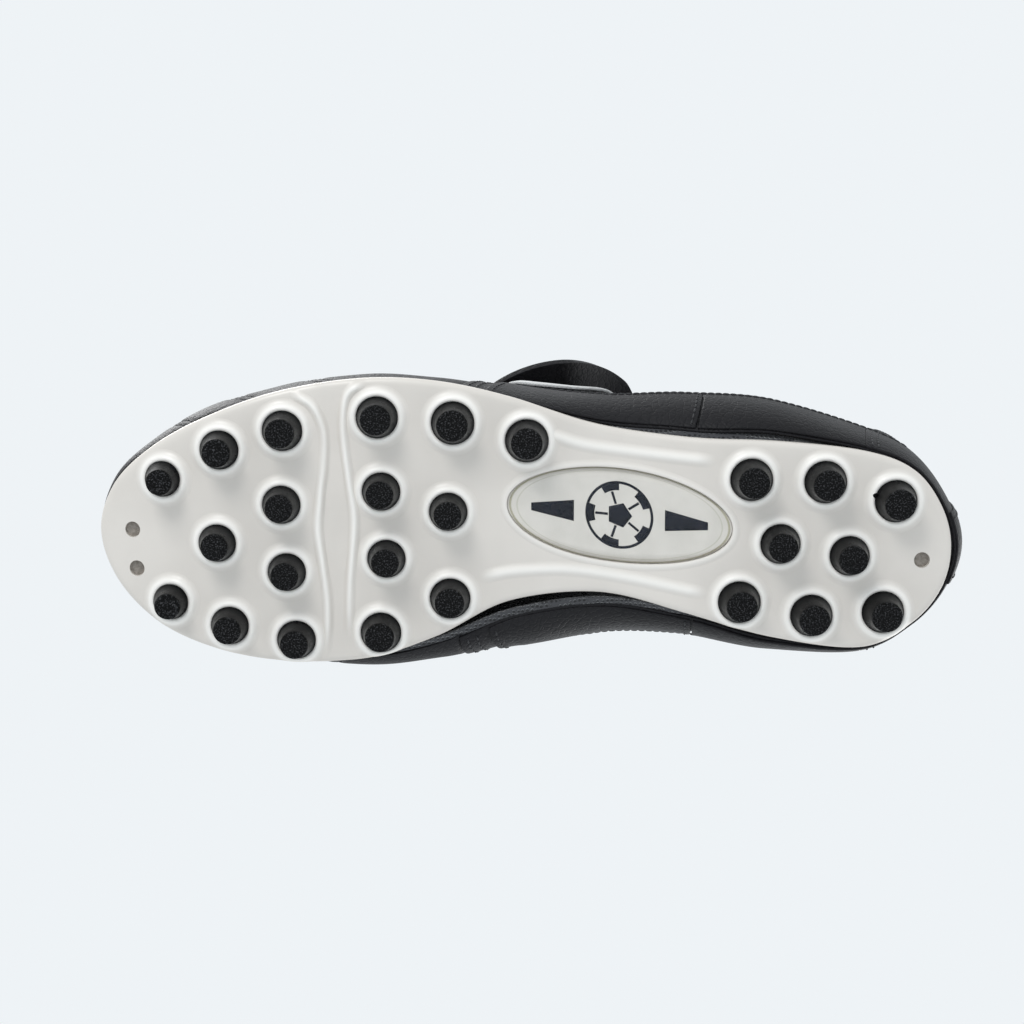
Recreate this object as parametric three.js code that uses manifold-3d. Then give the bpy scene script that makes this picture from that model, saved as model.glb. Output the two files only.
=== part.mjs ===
// Moulded-stud soccer cleat for the left foot, in millimetres, +Z up.
//
// While it is built, x runs from the heel end of the outsole towards the toe, y is positive on the
// lateral side, and the flat stud tips stand on z = 0. The last line centres the shoe over its origin.
// The shoe bends at the flex groove under the ball of the foot, and its tongue folds over the laces.
import * as THREE from 'three';
import { mergeVertices } from 'three/addons/utils/BufferGeometryUtils.js';
import Module from 'manifold-3d';

const wasm = await Module();
wasm.setup();

// ---- Driving dimensions -------------------------------------------------------------------------

const GAP = 0.3;                 // clearance left between touching pieces

// Overall size of the outsole. Places along and across the shoe are given for the reference size and
// are carried to these values; walls, studs, clearances and the oval keep their own sizes.
const SOLE_LENGTH = 289.5;
const SOLE_WIDTH = 96.8;
const REFERENCE = { length: 289.5, width: 96.8 };
const along = (x) => (x * SOLE_LENGTH) / REFERENCE.length;
const across = (y) => (y * SOLE_WIDTH) / REFERENCE.width;
const onPlan = (points) => points.map(([x, y, ...rest]) => [along(x), across(y), ...rest]);
const onSide = (points) => points.map(([x, z]) => [along(x), z]);

// Sole
const STUD_HEIGHT = 10.5;        // plate underside to flat stud tip
const STUD_TAPER = 0.7;          // tip radius over base radius
const STUD_TIP_ROUND = 0.9;
const STUD_ROOT = 1.2;           // how deep a stud is moulded into its socket
const STUD_SIDES = 12;
const COLLAR_WIDTH = 2.3;        // raised ring round each stud
const COLLAR_HEIGHT = 1.1;
const PLATE = 3.0;
const PLATE_EDGE = 2.4;          // width of the rounded lower edge
const EDGE_RISE = 1.6;           // and its height
const EDGE_SHOULDER = [0.72, 0.55];  // inset and height of the point where it is roundest
const TOE_SPRING = 12;
const TOE_SPRING_START = along(232);
const ARCH_RISE = 3.5;
const ARCH_SPAN = [70, 148].map(along);
const GROOVE_X = along(209);     // flex groove
const GROOVE_WIDTH = 4.6;
const GROOVE_DEPTH = 1.0;
const BEAD_RADIUS = 1.3;         // raised lines beside the groove and along the arch
const VENT_RADIUS = 2.5;         // moulding holes at toe and heel

// Oval window under the arch
const OVAL = { x: along(112.7), y: across(2.3), halfLength: 38.3, halfWidth: 16.3, slope: 0.117 };
const OVAL_DEPTH = 1.7;
const OVAL_RIM = 2.0;
const RIM_HEIGHT = 0.6;
const LENS_RECESS = 0.1;
const LENS = 0.9;
const INSERT = 0.4;

// Inside the shoe
const BOARD = 2.2;
const SHANK = { from: along(72), to: along(166), y: across(1.5), halfWidth: 8, thickness: 1.2 };
const SOCKLINER = 4.2;
const CUSHION = { x: along(36), y: across(-9.5), halfLength: 24, halfWidth: 18, thickness: 2.4 };

// Upper
const FEATHER_INSET = 6.5;       // sole edge to the inside of the lining, at the feather line
const UNDERLAP = 2;              // how far the layers are made below the plate before they are trimmed
const BED_CLEARANCE = 1.2;       // lining to the edge of the board and the sockliner
const LINING = 1.2;
const STIFFENER = 1.3;           // heel counter and toe puff
const PANEL = 1.4;               // vamp and quarters
const OVERLAY = 1.0;             // eyestays, foxing and heel cover
const BACKSTAY = 0.9;
const BACKSTAY_WIDTH = 24;
const COLLAR_PADDING = 4.0;
const TONGUE = 4.4;
const FLEX_WEDGE = 15.5;         // half angle of the crease zone over the ball of the foot, degrees

// Throat, eyelets and lace
const THROAT = { from: along(84), front: along(174), halfBack: 18.5, halfFront: 12.5 };
const THROAT_Y = { back: across(-2), front: across(-6) };
const EYESTAY_WIDTH = 15;
const EYELET_X = [166, 151.5, 137, 122.5, 108].map(along);
const EYELET_INSET = 6.5;
const LACE_WIDTH = 4.2;
const LACE_THICKNESS = 1.4;
const EYELET_RADIUS = LACE_WIDTH / 2 + 0.7;

// Fold-over flap
const FOLD = { x: along(98), z: 105.5, bead: 2.6, halfLength: 14 };
const FLAP = 2.4;
const FLAP_FRONT = along(177);
const FLAP_SHAPE = { widest: along(128), back: along(38), half: across(49.5), y: across(-1) };
const FLAP_FALL = 0.27;          // how much the flap drops for each millimetre towards the toe
const FLAP_DROOP = { by: 15, at: across(50) };  // how much its sides hang, and how far from the middle

// Knot, and the plan of the bow's loops, tails and tips, from the knot and for its lateral side
const KNOT = { x: along(106.5), halfLength: 3.4, halfWidth: 5, height: 5.2 };
const LOOP = [
  [1.4, 4], [4, 11], [6.5, 20], [6.5, 25], [3.5, 29.5], [-2, 30], [-4.6, 25], [-4, 20], [-2, 11], [-1.4, 4],
];
const TAIL = [[2, 2], [9, 8], [17, 13], [26, 16], [35, 18]];
const TIP = [[36, 18.2], [42, 19.2], [49, 20]];

// Stations of the last, heel to toe: x; lateral and medial edge of the sole; how far the foot form
// stands out over each edge; height of its widest line above the plate; its top line (x, y, z); and
// how full its shoulders are (2 is an ellipse, more is squarer).
function onLast(rows) {
  return rows.map(([x, lat, med, overLat, overMed, waist, topX, topY, topZ, full]) =>
    [along(x), across(lat), across(med), overLat, overMed, waist, along(topX), across(topY), topZ, full]);
}
const KEYS = ['x', 'lat', 'med', 'overLat', 'overMed', 'waist', 'topX', 'topY', 'topZ', 'full'];
const STATIONS = onLast([
  [0.0, -9.0, -9.0, 6.0, 6.0, 30, 16, -9.0, 112.0, 2.40],
  [3.2, 5.0, -22.5, 3.8, 3.8, 30, 18, -9.0, 112.0, 2.40],
  [13.0, 18.0, -34.0, 2.2, 2.2, 29, 24, -8.5, 112.0, 2.40],
  [30.0, 24.6, -42.0, 1.4, 2.6, 28, 35, -7.0, 112.0, 2.35],
  [60.0, 28.0, -38.9, 6.0, 4.2, 26, 60, -4.0, 109.0, 2.20],
  [90.0, 29.2, -31.5, 9.0, 8.0, 24, 90, -2.5, 101.0, 1.95],
  [120.0, 33.4, -24.3, 6.4, 15.0, 22, 120, -3.0, 91.5, 1.85],
  [150.0, 43.0, -26.8, -0.8, 16.0, 18, 150, -4.5, 81.0, 1.85],
  [175.0, 48.3, -39.2, -3.6, 8.5, 14, 175, -6.0, 72.5, 1.90],
  [200.0, 49.2, -47.0, -4.2, 3.0, 12, 200, -7.5, 64.0, 2.00],
  [228.0, 44.8, -47.6, -3.6, -1.2, 11, 228, -8.0, 56.0, 2.10],
  [252.0, 36.3, -43.2, -2.2, -2.0, 9, 252, -8.0, 49.5, 2.20],
  [271.2, 25.8, -34.8, -0.8, -1.6, 7.5, 270.5, -7.0, 44.0, 2.30],
  [284.4, 12.4, -20.8, -0.2, -0.4, 5, 283.5, -5.0, 37.5, 2.30],
  [289.5, -4.0, -4.0, 0.0, 0.0, 3, 289.5, -4.0, 28.5, 2.20],
]);
const TOE = STATIONS.length - 1;

// Stud centres and base radii: x, y, radius
const FOREFOOT_STUDS = onPlan([
  [267.4, 14.9, 6.1], [247.6, 25.2, 6.6], [226.3, 31.8, 6.8], [194.5, 36.3, 7.1], [227.0, 6.7, 6.5],
  [193.3, 11.2, 6.5], [248.9, -6.6, 6.4], [225.5, -16.4, 6.5], [191.7, -11.8, 6.5], [265.6, -27.4, 6.1],
  [245.2, -35.0, 6.5], [222.6, -39.8, 6.6], [193.8, -37.3, 6.9], [169.1, 34.4, 7.3], [144.3, 28.4, 7.3],
  [170.7, 4.3, 6.5], [170.2, -25.5, 6.9],
]);
const HEEL_STUDS = onPlan([
  [68.5, 15.2, 7.2], [43.6, 14.4, 7.2], [19.7, 7.9, 7.2], [58.4, -6.7, 6.8], [34.9, -10.8, 6.8],
  [71.9, -26.8, 7.2], [47.4, -31.4, 7.2], [23.1, -30.2, 7.2],
]);
const VENTS = onPlan([[277.8, -2.2], [276.7, -15.2], [10.1, -12.5]]);

// Raised lines on the underside
const GROOVE_LINES = [
  [
    [224, 42], [216.3, 40], [212.6, 32], [212.6, 20], [214, 9], [215, -2], [213.4, -14], [211.8, -28],
    [212.4, -45],
  ],
  [
    [197.8, 46.5], [204.2, 44], [206.2, 35], [205.6, 25], [204, 14], [202.5, 3], [203, -8], [204.5, -22],
    [205, -44],
  ],
].map(onPlan);
const ARCH_LINES = [
  [[134.2, 29.7], [124.1, 26.6], [108.6, 24.2], [93.2, 22.4], [79.2, 21.2]],
  [
    [161.3, -19], [150.4, -16.4], [135.6, -15.6], [123.9, -16.6], [108.3, -19.4], [92.6, -22.6],
    [81.6, -24.5],
  ],
].map(onPlan);

// Height of the collar's top edge along the shoe: x, z
const TOPLINE = onSide([[-30, 90], [-8, 88], [10, 83], [30, 73.5], [52, 68], [74, 73], [92, 85], [106, 93]]);
const COLLAR_BACK = TOPLINE[0][0];
const COLLAR_FRONT = TOPLINE[TOPLINE.length - 1][0];
const PADDING_FRONT = along(80);
const PADDING_DEPTH = [1.5, 17];  // below the collar's top edge
const PADDING_FADE = [72, 96].map(along);

// Seams, seen from the side: x, z
const SEAM = onSide([[170, -10], [167, 15], [160, 42], [164, 60], [177, 78], [182, 110]]);
const FOXING_TOP = onSide([[163, 52], [152, 43], [128, 38], [96, 36], [70, 37]]);
const FOXING_SPLIT = along(83);
const FOXING_TO_SEAM = 2;
const HEEL_LINE = onSide([[31, -10], [29, 20], [22, 46], [4, 68]]);
const HEEL_COVER_BACK = [[-60, 72], [-60, -10]];
const COUNTER = onSide([[-60, -10], [46, -10], [46, 38], [28, 48], [-2, 58], [-60, 58]]);
const TOE_PUFF_BACK = onSide([[262, -10], [256, 90]]);
const BACKSTAY_FRONT = along(16);
const TONGUE_PLAN = onPlan([
  [98, -22], [120, -25], [150, -25], [180, -21], [184, -12],
  [184, 2], [180, 11], [150, 17], [120, 20], [98, 18],
]);

// ---- Colours ------------------------------------------------------------------------------------

const material = (color, roughness, metalness = 0) =>
  new THREE.MeshStandardMaterial({ color, roughness, metalness });
const WHITE_TPU = material(0xe4e2dd, 0.35);
const BLACK_RUBBER = material(0x141414, 0.55);
const BLACK_LEATHER = material(0x26252a, 0.5);
const BLACK_LINING = material(0x1c1c1f, 0.9);
const WHITE_LACE = material(0xf0efec, 0.8);
const GREY_BOARD = material(0x8a8278, 0.85);
const BADGE_CARD = material(0x1d2733, 0.5);
const CLEAR = material(0xe9e6d8, 0.15);
const STEEL = material(0x9a9ca0, 0.4, 0.9);
const FOAM = material(0x3c4650, 0.9);

// ---- Small helpers ------------------------------------------------------------------------------

const smooth = (low, high, value) => THREE.MathUtils.smoothstep(value, low, high);
const radians = THREE.MathUtils.degToRad;

// Uniform Catmull-Rom value and slope between b and c
function spline(a, b, c, d, f) {
  const cubic = ((3 * (b - c) + d - a) * f + 2 * a - 5 * b + 4 * c - d) * f;
  return b + 0.5 * f * (c - a + cubic);
}

function splineSlope(a, b, c, d, f) {
  return 0.5 * (c - a + f * (2 * (2 * a - 5 * b + 4 * c - d) + 3 * f * (3 * (b - c) + d - a)));
}

// A smooth height through [x, height] points, held level past its ends
function heightAlong(points, x) {
  const last = points.length - 2;
  let i = 0;
  while (i < last && x > points[i + 1][0]) i += 1;
  const value = (k) => points[Math.min(Math.max(k, 0), last + 1)][1];
  const f = THREE.MathUtils.clamp((x - points[i][0]) / (points[i + 1][0] - points[i][0]), 0, 1);
  return spline(value(i - 1), value(i), value(i + 1), value(i + 2), f);
}

const valueOf = (offset) => (typeof offset === 'function' ? offset : () => offset);

// Closed solid through rings of equal length; an end ring may close to a line
function loft(rings) {
  const count = rings[0].length;
  const positions = rings.flat(2);
  const index = [];
  for (let i = 0; i + 1 < rings.length; i += 1) {
    for (let j = 0; j < count; j += 1) {
      const a = i * count + j;
      const b = i * count + ((j + 1) % count);
      index.push(a, a + count, b, b, a + count, b + count);
    }
  }
  const last = (rings.length - 1) * count;
  for (let j = 1; j + 1 < count; j += 1) {
    index.push(0, j, j + 1, last, last + j + 1, last + j);
  }
  return solidOf(positions, index);
}

// Manifold solid from positions and triangles, with shared corners merged and flat triangles dropped
function solidOf(positions, index) {
  const geometry = new THREE.BufferGeometry();
  geometry.setAttribute('position', new THREE.Float32BufferAttribute(positions, 3));
  geometry.setIndex(index);
  const merged = mergeVertices(geometry, 1e-4);
  const triangles = [];
  const corner = merged.index.array;
  const seen = new Map();
  for (let i = 0; i < corner.length; i += 3) {
    const [a, b, c] = [corner[i], corner[i + 1], corner[i + 2]];
    if (a === b || b === c || c === a) continue;
    const key = [a, b, c].sort((p, q) => p - q).join();
    if (seen.has(key)) seen.set(key, null);
    else seen.set(key, [a, b, c]);
  }
  for (const triangle of seen.values()) if (triangle) triangles.push(...triangle);
  const vertProperties = new Float32Array(merged.attributes.position.array);
  if (signedVolume(vertProperties, triangles) < 0) triangles.reverse();
  const triVerts = new Uint32Array(triangles);
  return new wasm.Manifold(new wasm.Mesh({ numProp: 3, vertProperties, triVerts }));
}

// Positive when the triangles face outwards
function signedVolume(positions, triangles) {
  const point = (k) => new THREE.Vector3().fromArray(positions, 3 * triangles[k]);
  let volume = 0;
  for (let i = 0; i < triangles.length; i += 3) {
    volume += point(i).dot(point(i + 1).cross(point(i + 2))) / 6;
  }
  return volume;
}

function solidFrom(geometry) {
  const { position } = geometry.attributes;
  const index = geometry.index ? [...geometry.index.array] : [...Array(position.count).keys()];
  return solidOf([...position.array], index);
}

function meshOf(name, solid, look) {
  const { vertProperties, triVerts } = solid.getMesh();
  const geometry = new THREE.BufferGeometry();
  geometry.setAttribute('position', new THREE.BufferAttribute(new Float32Array(vertProperties), 3));
  geometry.setIndex(new THREE.BufferAttribute(new Uint32Array(triVerts), 1));
  geometry.computeVertexNormals();
  const mesh = new THREE.Mesh(geometry, look);
  mesh.name = name;
  return mesh;
}

const WIDE = 400;

// Prism seen from the side: an outline of [x, z] points pushed across the whole shoe
function sidePrism(points) {
  const shape = new THREE.Shape(points.map(([x, z]) => new THREE.Vector2(x, z)));
  const geometry = new THREE.ExtrudeGeometry(shape, { depth: 2 * WIDE, bevelEnabled: false });
  geometry.rotateX(Math.PI / 2);
  geometry.translate(0, WIDE, 0);
  return solidFrom(geometry);
}

// Prism seen from above: an outline of [x, y] points pushed up from one height to another
function planPrism(points, fromZ, toZ) {
  const shape = new THREE.Shape(points.map(([x, y]) => new THREE.Vector2(x, y)));
  const geometry = new THREE.ExtrudeGeometry(shape, { depth: toZ - fromZ, bevelEnabled: false });
  geometry.translate(0, 0, fromZ);
  return solidFrom(geometry);
}

const curvePoints = (points, steps) =>
  new THREE.SplineCurve(points.map(([x, y]) => new THREE.Vector2(x, y)))
    .getPoints(steps)
    .map((p) => [p.x, p.y]);

// ---- Form of the last and the sole --------------------------------------------------------------

// The row past each end is the neighbour's mirror image, so that the outline rounds the heel and toe
function stationRow(i) {
  if (i >= 0 && i <= TOE) return STATIONS[i];
  const near = STATIONS[i < 0 ? 1 : TOE - 1];
  const [x, lat, med, overLat, overMed, waist, topX, topY, topZ, full] = near;
  const mirroredTop = i < 0 ? topZ : 2 * STATIONS[TOE][KEYS.indexOf('topZ')] - topZ;
  return [x, med, lat, overMed, overLat, waist, topX, topY, mirroredTop, full];
}

// All values and slopes of the last at station t, from 0 at the heel to TOE at the tip
function station(t) {
  const i = Math.min(Math.floor(t), TOE - 1);
  const rows = [i - 1, i, i + 1, i + 2].map(stationRow);
  const s = { slope: {} };
  KEYS.forEach((key, k) => {
    const values = rows.map((row) => row[k]);
    s[key] = spline(...values, t - i);
    s.slope[key] = splineSlope(...values, t - i);
  });
  return s;
}

// Underside of the plate: level under the heel and ball, raised at the arch and the toe
function plateBottom(x) {
  const arch = THREE.MathUtils.clamp((x - ARCH_SPAN[0]) / (ARCH_SPAN[1] - ARCH_SPAN[0]), 0, 1);
  const toe = Math.max(0, (x - TOE_SPRING_START) / (STATIONS[TOE][0] - TOE_SPRING_START));
  return STUD_HEIGHT + ARCH_RISE * Math.sin(Math.PI * arch) ** 2 + TOE_SPRING * toe ** 2;
}

const plateTop = (x) => plateBottom(x) + PLATE;

// Point on the sole's outline, moved outwards by an offset
function outlinePoint(s, side, offset) {
  const key = side > 0 ? 'lat' : 'med';
  const [dx, dy] = [s.slope.x, s.slope[key]];
  const length = Math.hypot(dx, dy);
  return [s.x - (side * offset * dy) / length, s[key] + (side * offset * dx) / length];
}

// Point on the foot form moved out by an offset. The angle runs from -90 degrees at the lateral
// feather line, over the top at 90, to 270 at the medial feather line.
function formPoint(t, angle, offset) {
  const s = station(t);
  const side = angle <= 90 ? 1 : -1;
  const cos = Math.abs(Math.cos(radians(angle)));
  const sin = Math.sin(radians(angle));
  const over = side > 0 ? s.overLat : s.overMed;
  const edge = outlinePoint(s, side, over + offset);
  const floor = plateTop(s.x) - UNDERLAP;
  const middle = plateTop(s.x) + s.waist;
  if (sin < 0) {
    const foot = outlinePoint(s, side, offset - FEATHER_INSET);
    return [
      foot[0] + (edge[0] - foot[0]) * cos,
      foot[1] + (edge[1] - foot[1]) * cos,
      middle + (middle - floor) * sin,
    ];
  }
  const toeward = Math.max(0, t - TOE + 1) ** 2;
  const power = 2 / s.full;
  const share = cos < 1e-9 ? 0 : cos ** power;
  const top = [s.topX + offset * toeward, s.topY];
  return [
    top[0] + (edge[0] - top[0]) * share,
    top[1] + (edge[1] - top[1]) * share,
    middle + (s.topZ + offset - middle) * sin ** power,
  ];
}

// Station steps and angles shared by every piece of the upper, so that nested layers stay parallel
const SPAN_PARTS = [3, 2, 2, 1, 1, 1, 1, 1, 1, 1, 1, 2, 2, 3];
const stepsOf = (spans) =>
  [...spans.flatMap((parts, i) => Array.from({ length: parts }, (_, k) => i + k / parts)), TOE];
const STEPS = stepsOf(SPAN_PARTS);
const SOLE_STEPS = stepsOf(SPAN_PARTS.map(() => 3));

const FORM_DROP = 12;
const ANGLES = [-90, -45];
for (let angle = 0; angle <= 180; angle += 18) ANGLES.push(angle);
ANGLES.push(225, 270);

// Closed solid of the foot form at an offset, which may be a function of station and angle, with its
// floor dropped so that an inner form cuts right through an outer one
function formSolid(offset, drop) {
  const value = valueOf(offset);
  return loft(
    STEPS.map((t) => {
      const ring = ANGLES.map((angle) => formPoint(t, angle, value(t, angle)));
      const first = ring[0];
      const last = ring[ring.length - 1];
      return [[first[0], first[1], first[2] - drop], ...ring, [last[0], last[1], last[2] - drop]];
    }),
  );
}

// Layer of the upper between two offsets, open below and trimmed to the plate
function layer(inner, outer) {
  return formSolid(outer, 0).subtract(formSolid(inner, FORM_DROP)).subtract(plateTrim);
}

// Slab over the sole's outline, between two heights above the plate's underside
function soleSlab(profile) {
  return loft(
    SOLE_STEPS.map((t) => {
      const s = station(t);
      const point = (side, [inset, height]) => [...outlinePoint(s, side, -inset), plateBottom(s.x) + height];
      return [...profile.map((p) => point(1, p)), ...[...profile].reverse().map((p) => point(-1, p))];
    }),
  );
}

// Strip along the shoe whose middle line, half width and two heights are functions of x
function strip({ from, to, steps, middle, half, low, high }) {
  const rings = [];
  for (let i = 0; i <= steps; i += 1) {
    const x = from + ((to - from) * (1 - Math.cos((Math.PI * i) / steps))) / 2;
    const [y, w] = [middle(x), half(x)];
    rings.push([[x, y + w, low(x)], [x, y + w, high(x)], [x, y - w, high(x)], [x, y - w, low(x)]]);
  }
  return loft(rings);
}

// Everything below the plate's top, with the gap that the upper keeps over it
const plateTrim = strip({
  from: -50,
  to: SOLE_LENGTH + 50.5,
  steps: 64,
  middle: () => 0,
  half: () => 90,
  low: () => -30,
  high: (x) => plateTop(x) + GAP,
});

// ---- Cutting shapes -----------------------------------------------------------------------------

const HINGE_Z = STUD_HEIGHT + PLATE + GAP;

// Everything on one side of the crease zone: towards the toe (1) or the heel (-1)
function flexSide(side, extra = 0) {
  const rise = 100;
  const x = GROOVE_X + side * (GAP / 2 + extra);
  const lean = side * rise * Math.tan(radians(FLEX_WEDGE));
  return sidePrism([
    [x, -50],
    [GROOVE_X + side * WIDE, -50],
    [GROOVE_X + side * WIDE, HINGE_Z + rise],
    [x + lean, HINGE_Z + rise],
    [x, HINGE_Z],
  ]);
}

const toewards = flexSide(1);
const heelwards = flexSide(-1);
const creaseZone = sidePrism([
  [GROOVE_X - WIDE, -50], [GROOVE_X + WIDE, -50], [GROOVE_X + WIDE, 200], [GROOVE_X - WIDE, 200],
]).subtract(flexSide(1, -GAP)).subtract(flexSide(-1, -GAP));

const throatHalf = (x) =>
  THREE.MathUtils.mapLinear(x, THROAT.from, THROAT.front, THROAT.halfBack, THROAT.halfFront);
const throatMiddle = (x) =>
  THREE.MathUtils.mapLinear(x, THROAT.from, THROAT.front, THROAT_Y.back, THROAT_Y.front);

// Outline of the lacing opening, widened all round by an offset, with a round front
function throatOutline(offset) {
  const half = THROAT.halfFront + offset;
  const centre = THROAT.front - THROAT.halfFront;
  const side = (sign) => [THROAT.from, throatMiddle(THROAT.from) + sign * (THROAT.halfBack + offset)];
  const front = [];
  for (let angle = -90; angle <= 90; angle += 18) {
    const a = radians(angle);
    front.push([centre + half * Math.cos(a), throatMiddle(centre) + half * Math.sin(a)]);
  }
  return [side(-1), ...front, side(1)];
}

// Ankle opening over the collar's top edge, joined to the lacing opening
function openingSolid() {
  const steps = 20;
  const edge = Array.from({ length: steps + 1 }, (_, i) => {
    const x = THREE.MathUtils.lerp(COLLAR_BACK, COLLAR_FRONT, i / steps);
    return [x, heightAlong(TOPLINE, x)];
  });
  const ankle = sidePrism([...edge, [COLLAR_FRONT, 160], [COLLAR_BACK, 160]]);
  return ankle.add(planPrism(throatOutline(0), 60, 150));
}

const opening = openingSolid();

// Everything on one side of a line seen from the side, out to a far x, with the line moved along
function beside(line, shift, farX) {
  const [first, last] = [line[0], line[line.length - 1]];
  return sidePrism([...line.map(([x, z]) => [x + shift, z]), [farX, last[1]], [farX, first[1]]]);
}

const seamLine = curvePoints(SEAM, 10);
const vampSide = beside(seamLine, GAP / 2, WIDE);
const quarterSide = (shift) => beside(seamLine, shift, -WIDE);

// ---- Layers of the upper ------------------------------------------------------------------------

// 1 where the stiffeners lie between lining and leather, at the heel and the toe
const stiffened = (t) => Math.max(1 - smooth(4, 5, t), smooth(10, 11, t));

// 1 on the padded band under the collar's top edge
function collarFill(t, angle) {
  const [x, , z] = formPoint(t, angle, 0);
  const top = heightAlong(TOPLINE, x);
  return smooth(top - 26, top - 14, z) * (1 - smooth(...PADDING_FADE, x));
}

const liningIn = (t, angle) => -COLLAR_PADDING * collarFill(t, angle);
const liningOut = (t, angle) => liningIn(t, angle) + LINING;
const panelIn = (t) => LINING + GAP + (STIFFENER + GAP) * stiffened(t);
const panelOut = (t) => panelIn(t) + PANEL;
const overlayIn = (t) => panelOut(t) + GAP;
const overlayOut = (t) => overlayIn(t) + OVERLAY;

const liningLayer = layer(liningIn, liningOut).subtract(opening);
const panelLayer = layer(panelIn, panelOut).subtract(opening);
const overlayLayer = layer(overlayIn, overlayOut).subtract(opening);

// Eyelet holes run straight down through every layer
const eyelets = EYELET_X.flatMap((x) =>
  [1, -1].map((side) => [x, throatMiddle(x) + side * (throatHalf(x) + EYELET_INSET)]),
);
function punched(solid) {
  return eyelets.reduce((cut, [x, y]) => {
    const hole = new THREE.CylinderGeometry(EYELET_RADIUS, EYELET_RADIUS, 120, 8);
    hole.rotateX(Math.PI / 2);
    hole.translate(x, y, 100);
    return cut.subtract(solidFrom(hole));
  }, solid);
}

const half = (side, y) =>
  planPrism([[-WIDE, y], [WIDE, y], [WIDE, side * WIDE], [-WIDE, side * WIDE]], -50, 200);

// ---- Pieces -------------------------------------------------------------------------------------

const shoe = new THREE.Group();
const add = (name, solid, look) => shoe.add(meshOf(name, solid, look));

// Places a geometry built round the plate's underside at a stud, square to the plate
function placedAt(geometry, x) {
  const slope = x > TOE_SPRING_START ? plateBottom(x + 0.5) - plateBottom(x - 0.5) : 0;
  return geometry.rotateY(-Math.atan(slope));
}

function lathe(profile, [x, y]) {
  const points = profile.map(([r, z]) => new THREE.Vector2(r, z));
  const geometry = new THREE.LatheGeometry(points, STUD_SIDES);
  geometry.rotateX(Math.PI / 2);
  placedAt(geometry, x);
  geometry.translate(x, y, plateBottom(x));
  return solidFrom(geometry);
}

const studProfile = (r) => [
  [0, -STUD_HEIGHT],
  [r * STUD_TAPER - STUD_TIP_ROUND, -STUD_HEIGHT],
  [r * STUD_TAPER, -STUD_HEIGHT + STUD_TIP_ROUND],
  [r, -COLLAR_HEIGHT],
  [r, STUD_ROOT - GAP],
  [0, STUD_ROOT - GAP],
];
const socketProfile = (r) => [
  [0, -STUD_HEIGHT],
  [r + GAP, -STUD_HEIGHT],
  [r + GAP, STUD_ROOT],
  [0, STUD_ROOT],
];
const collarProfile = (r) => [
  [0, -COLLAR_HEIGHT],
  [r + COLLAR_WIDTH * 0.6, -COLLAR_HEIGHT],
  [r + COLLAR_WIDTH, PLATE / 2],
  [0, PLATE / 2],
];

function studs(name, list) {
  list.forEach(([x, y, r], i) => {
    add(`${name}_${String(i + 1).padStart(2, '0')}`, lathe(studProfile(r), [x, y]), BLACK_RUBBER);
  });
}

// Raised line of half-round section along the plate's underside
function bead(points) {
  const path = new THREE.CatmullRomCurve3(points.map(([x, y]) => new THREE.Vector3(x, y, plateBottom(x))));
  const section = new THREE.Shape();
  for (let i = 0; i < 6; i += 1) {
    const a = (i * Math.PI) / 3;
    section[i ? 'lineTo' : 'moveTo'](BEAD_RADIUS * Math.cos(a), BEAD_RADIUS * Math.sin(a));
  }
  const options = { steps: 12, extrudePath: path, bevelEnabled: false };
  return solidFrom(new THREE.ExtrudeGeometry(section, options));
}

function ovalStrip(grow, low, high) {
  const [a, b] = [OVAL.halfLength + grow, OVAL.halfWidth + grow];
  return strip({
    from: OVAL.x - a,
    to: OVAL.x + a,
    steps: 20,
    middle: (x) => OVAL.y + OVAL.slope * (x - OVAL.x),
    half: (x) => b * Math.sqrt(Math.max(0, 1 - ((x - OVAL.x) / a) ** 2)),
    low: (x) => plateBottom(x) + low,
    high: (x) => plateBottom(x) + high,
  });
}

function outsole() {
  let plate = soleSlab([[PLATE_EDGE, 0], EDGE_SHOULDER, [0, EDGE_RISE], [0, PLATE]]);
  const all = [...FOREFOOT_STUDS, ...HEEL_STUDS];
  for (const [x, y, r] of all) plate = plate.add(lathe(collarProfile(r), [x, y]));
  for (const line of [...GROOVE_LINES, ...ARCH_LINES]) plate = plate.add(bead(line));
  plate = plate.add(ovalStrip(OVAL_RIM, -RIM_HEIGHT, RIM_HEIGHT));
  plate = plate.subtract(ovalStrip(GAP, -3, OVAL_DEPTH));
  for (const [x, y, r] of all) plate = plate.subtract(lathe(socketProfile(r), [x, y]));
  for (const [x, y] of VENTS) {
    const hole = new THREE.CylinderGeometry(VENT_RADIUS, VENT_RADIUS, 40, STUD_SIDES);
    plate = plate.subtract(solidFrom(hole.rotateX(Math.PI / 2).translate(x, y, plateBottom(x))));
  }
  return plate.subtract(flexGroove());
}

// Cut for the flex groove, a little narrower at its floor than below it
function flexGroove() {
  const [low, high] = [STUD_HEIGHT - 5, STUD_HEIGHT + GROOVE_DEPTH];
  const [back, front] = [GROOVE_X - GROOVE_WIDTH / 2, GROOVE_X + GROOVE_WIDTH / 2];
  return sidePrism([[back, low], [front, low], [front - 1, high], [back + 1, high]]);
}

const sole = outsole();
add('outsole_forefoot', sole.intersect(toewards), WHITE_TPU);
add('outsole_rearfoot', sole.intersect(heelwards), WHITE_TPU);
studs('stud_forefoot', FOREFOOT_STUDS);
studs('stud_heel', HEEL_STUDS);
add('oval_window', ovalStrip(0, LENS_RECESS, LENS_RECESS + LENS), CLEAR);
add('badge_insert', ovalStrip(0, OVAL_DEPTH - GAP - INSERT, OVAL_DEPTH - GAP), BADGE_CARD);

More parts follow.
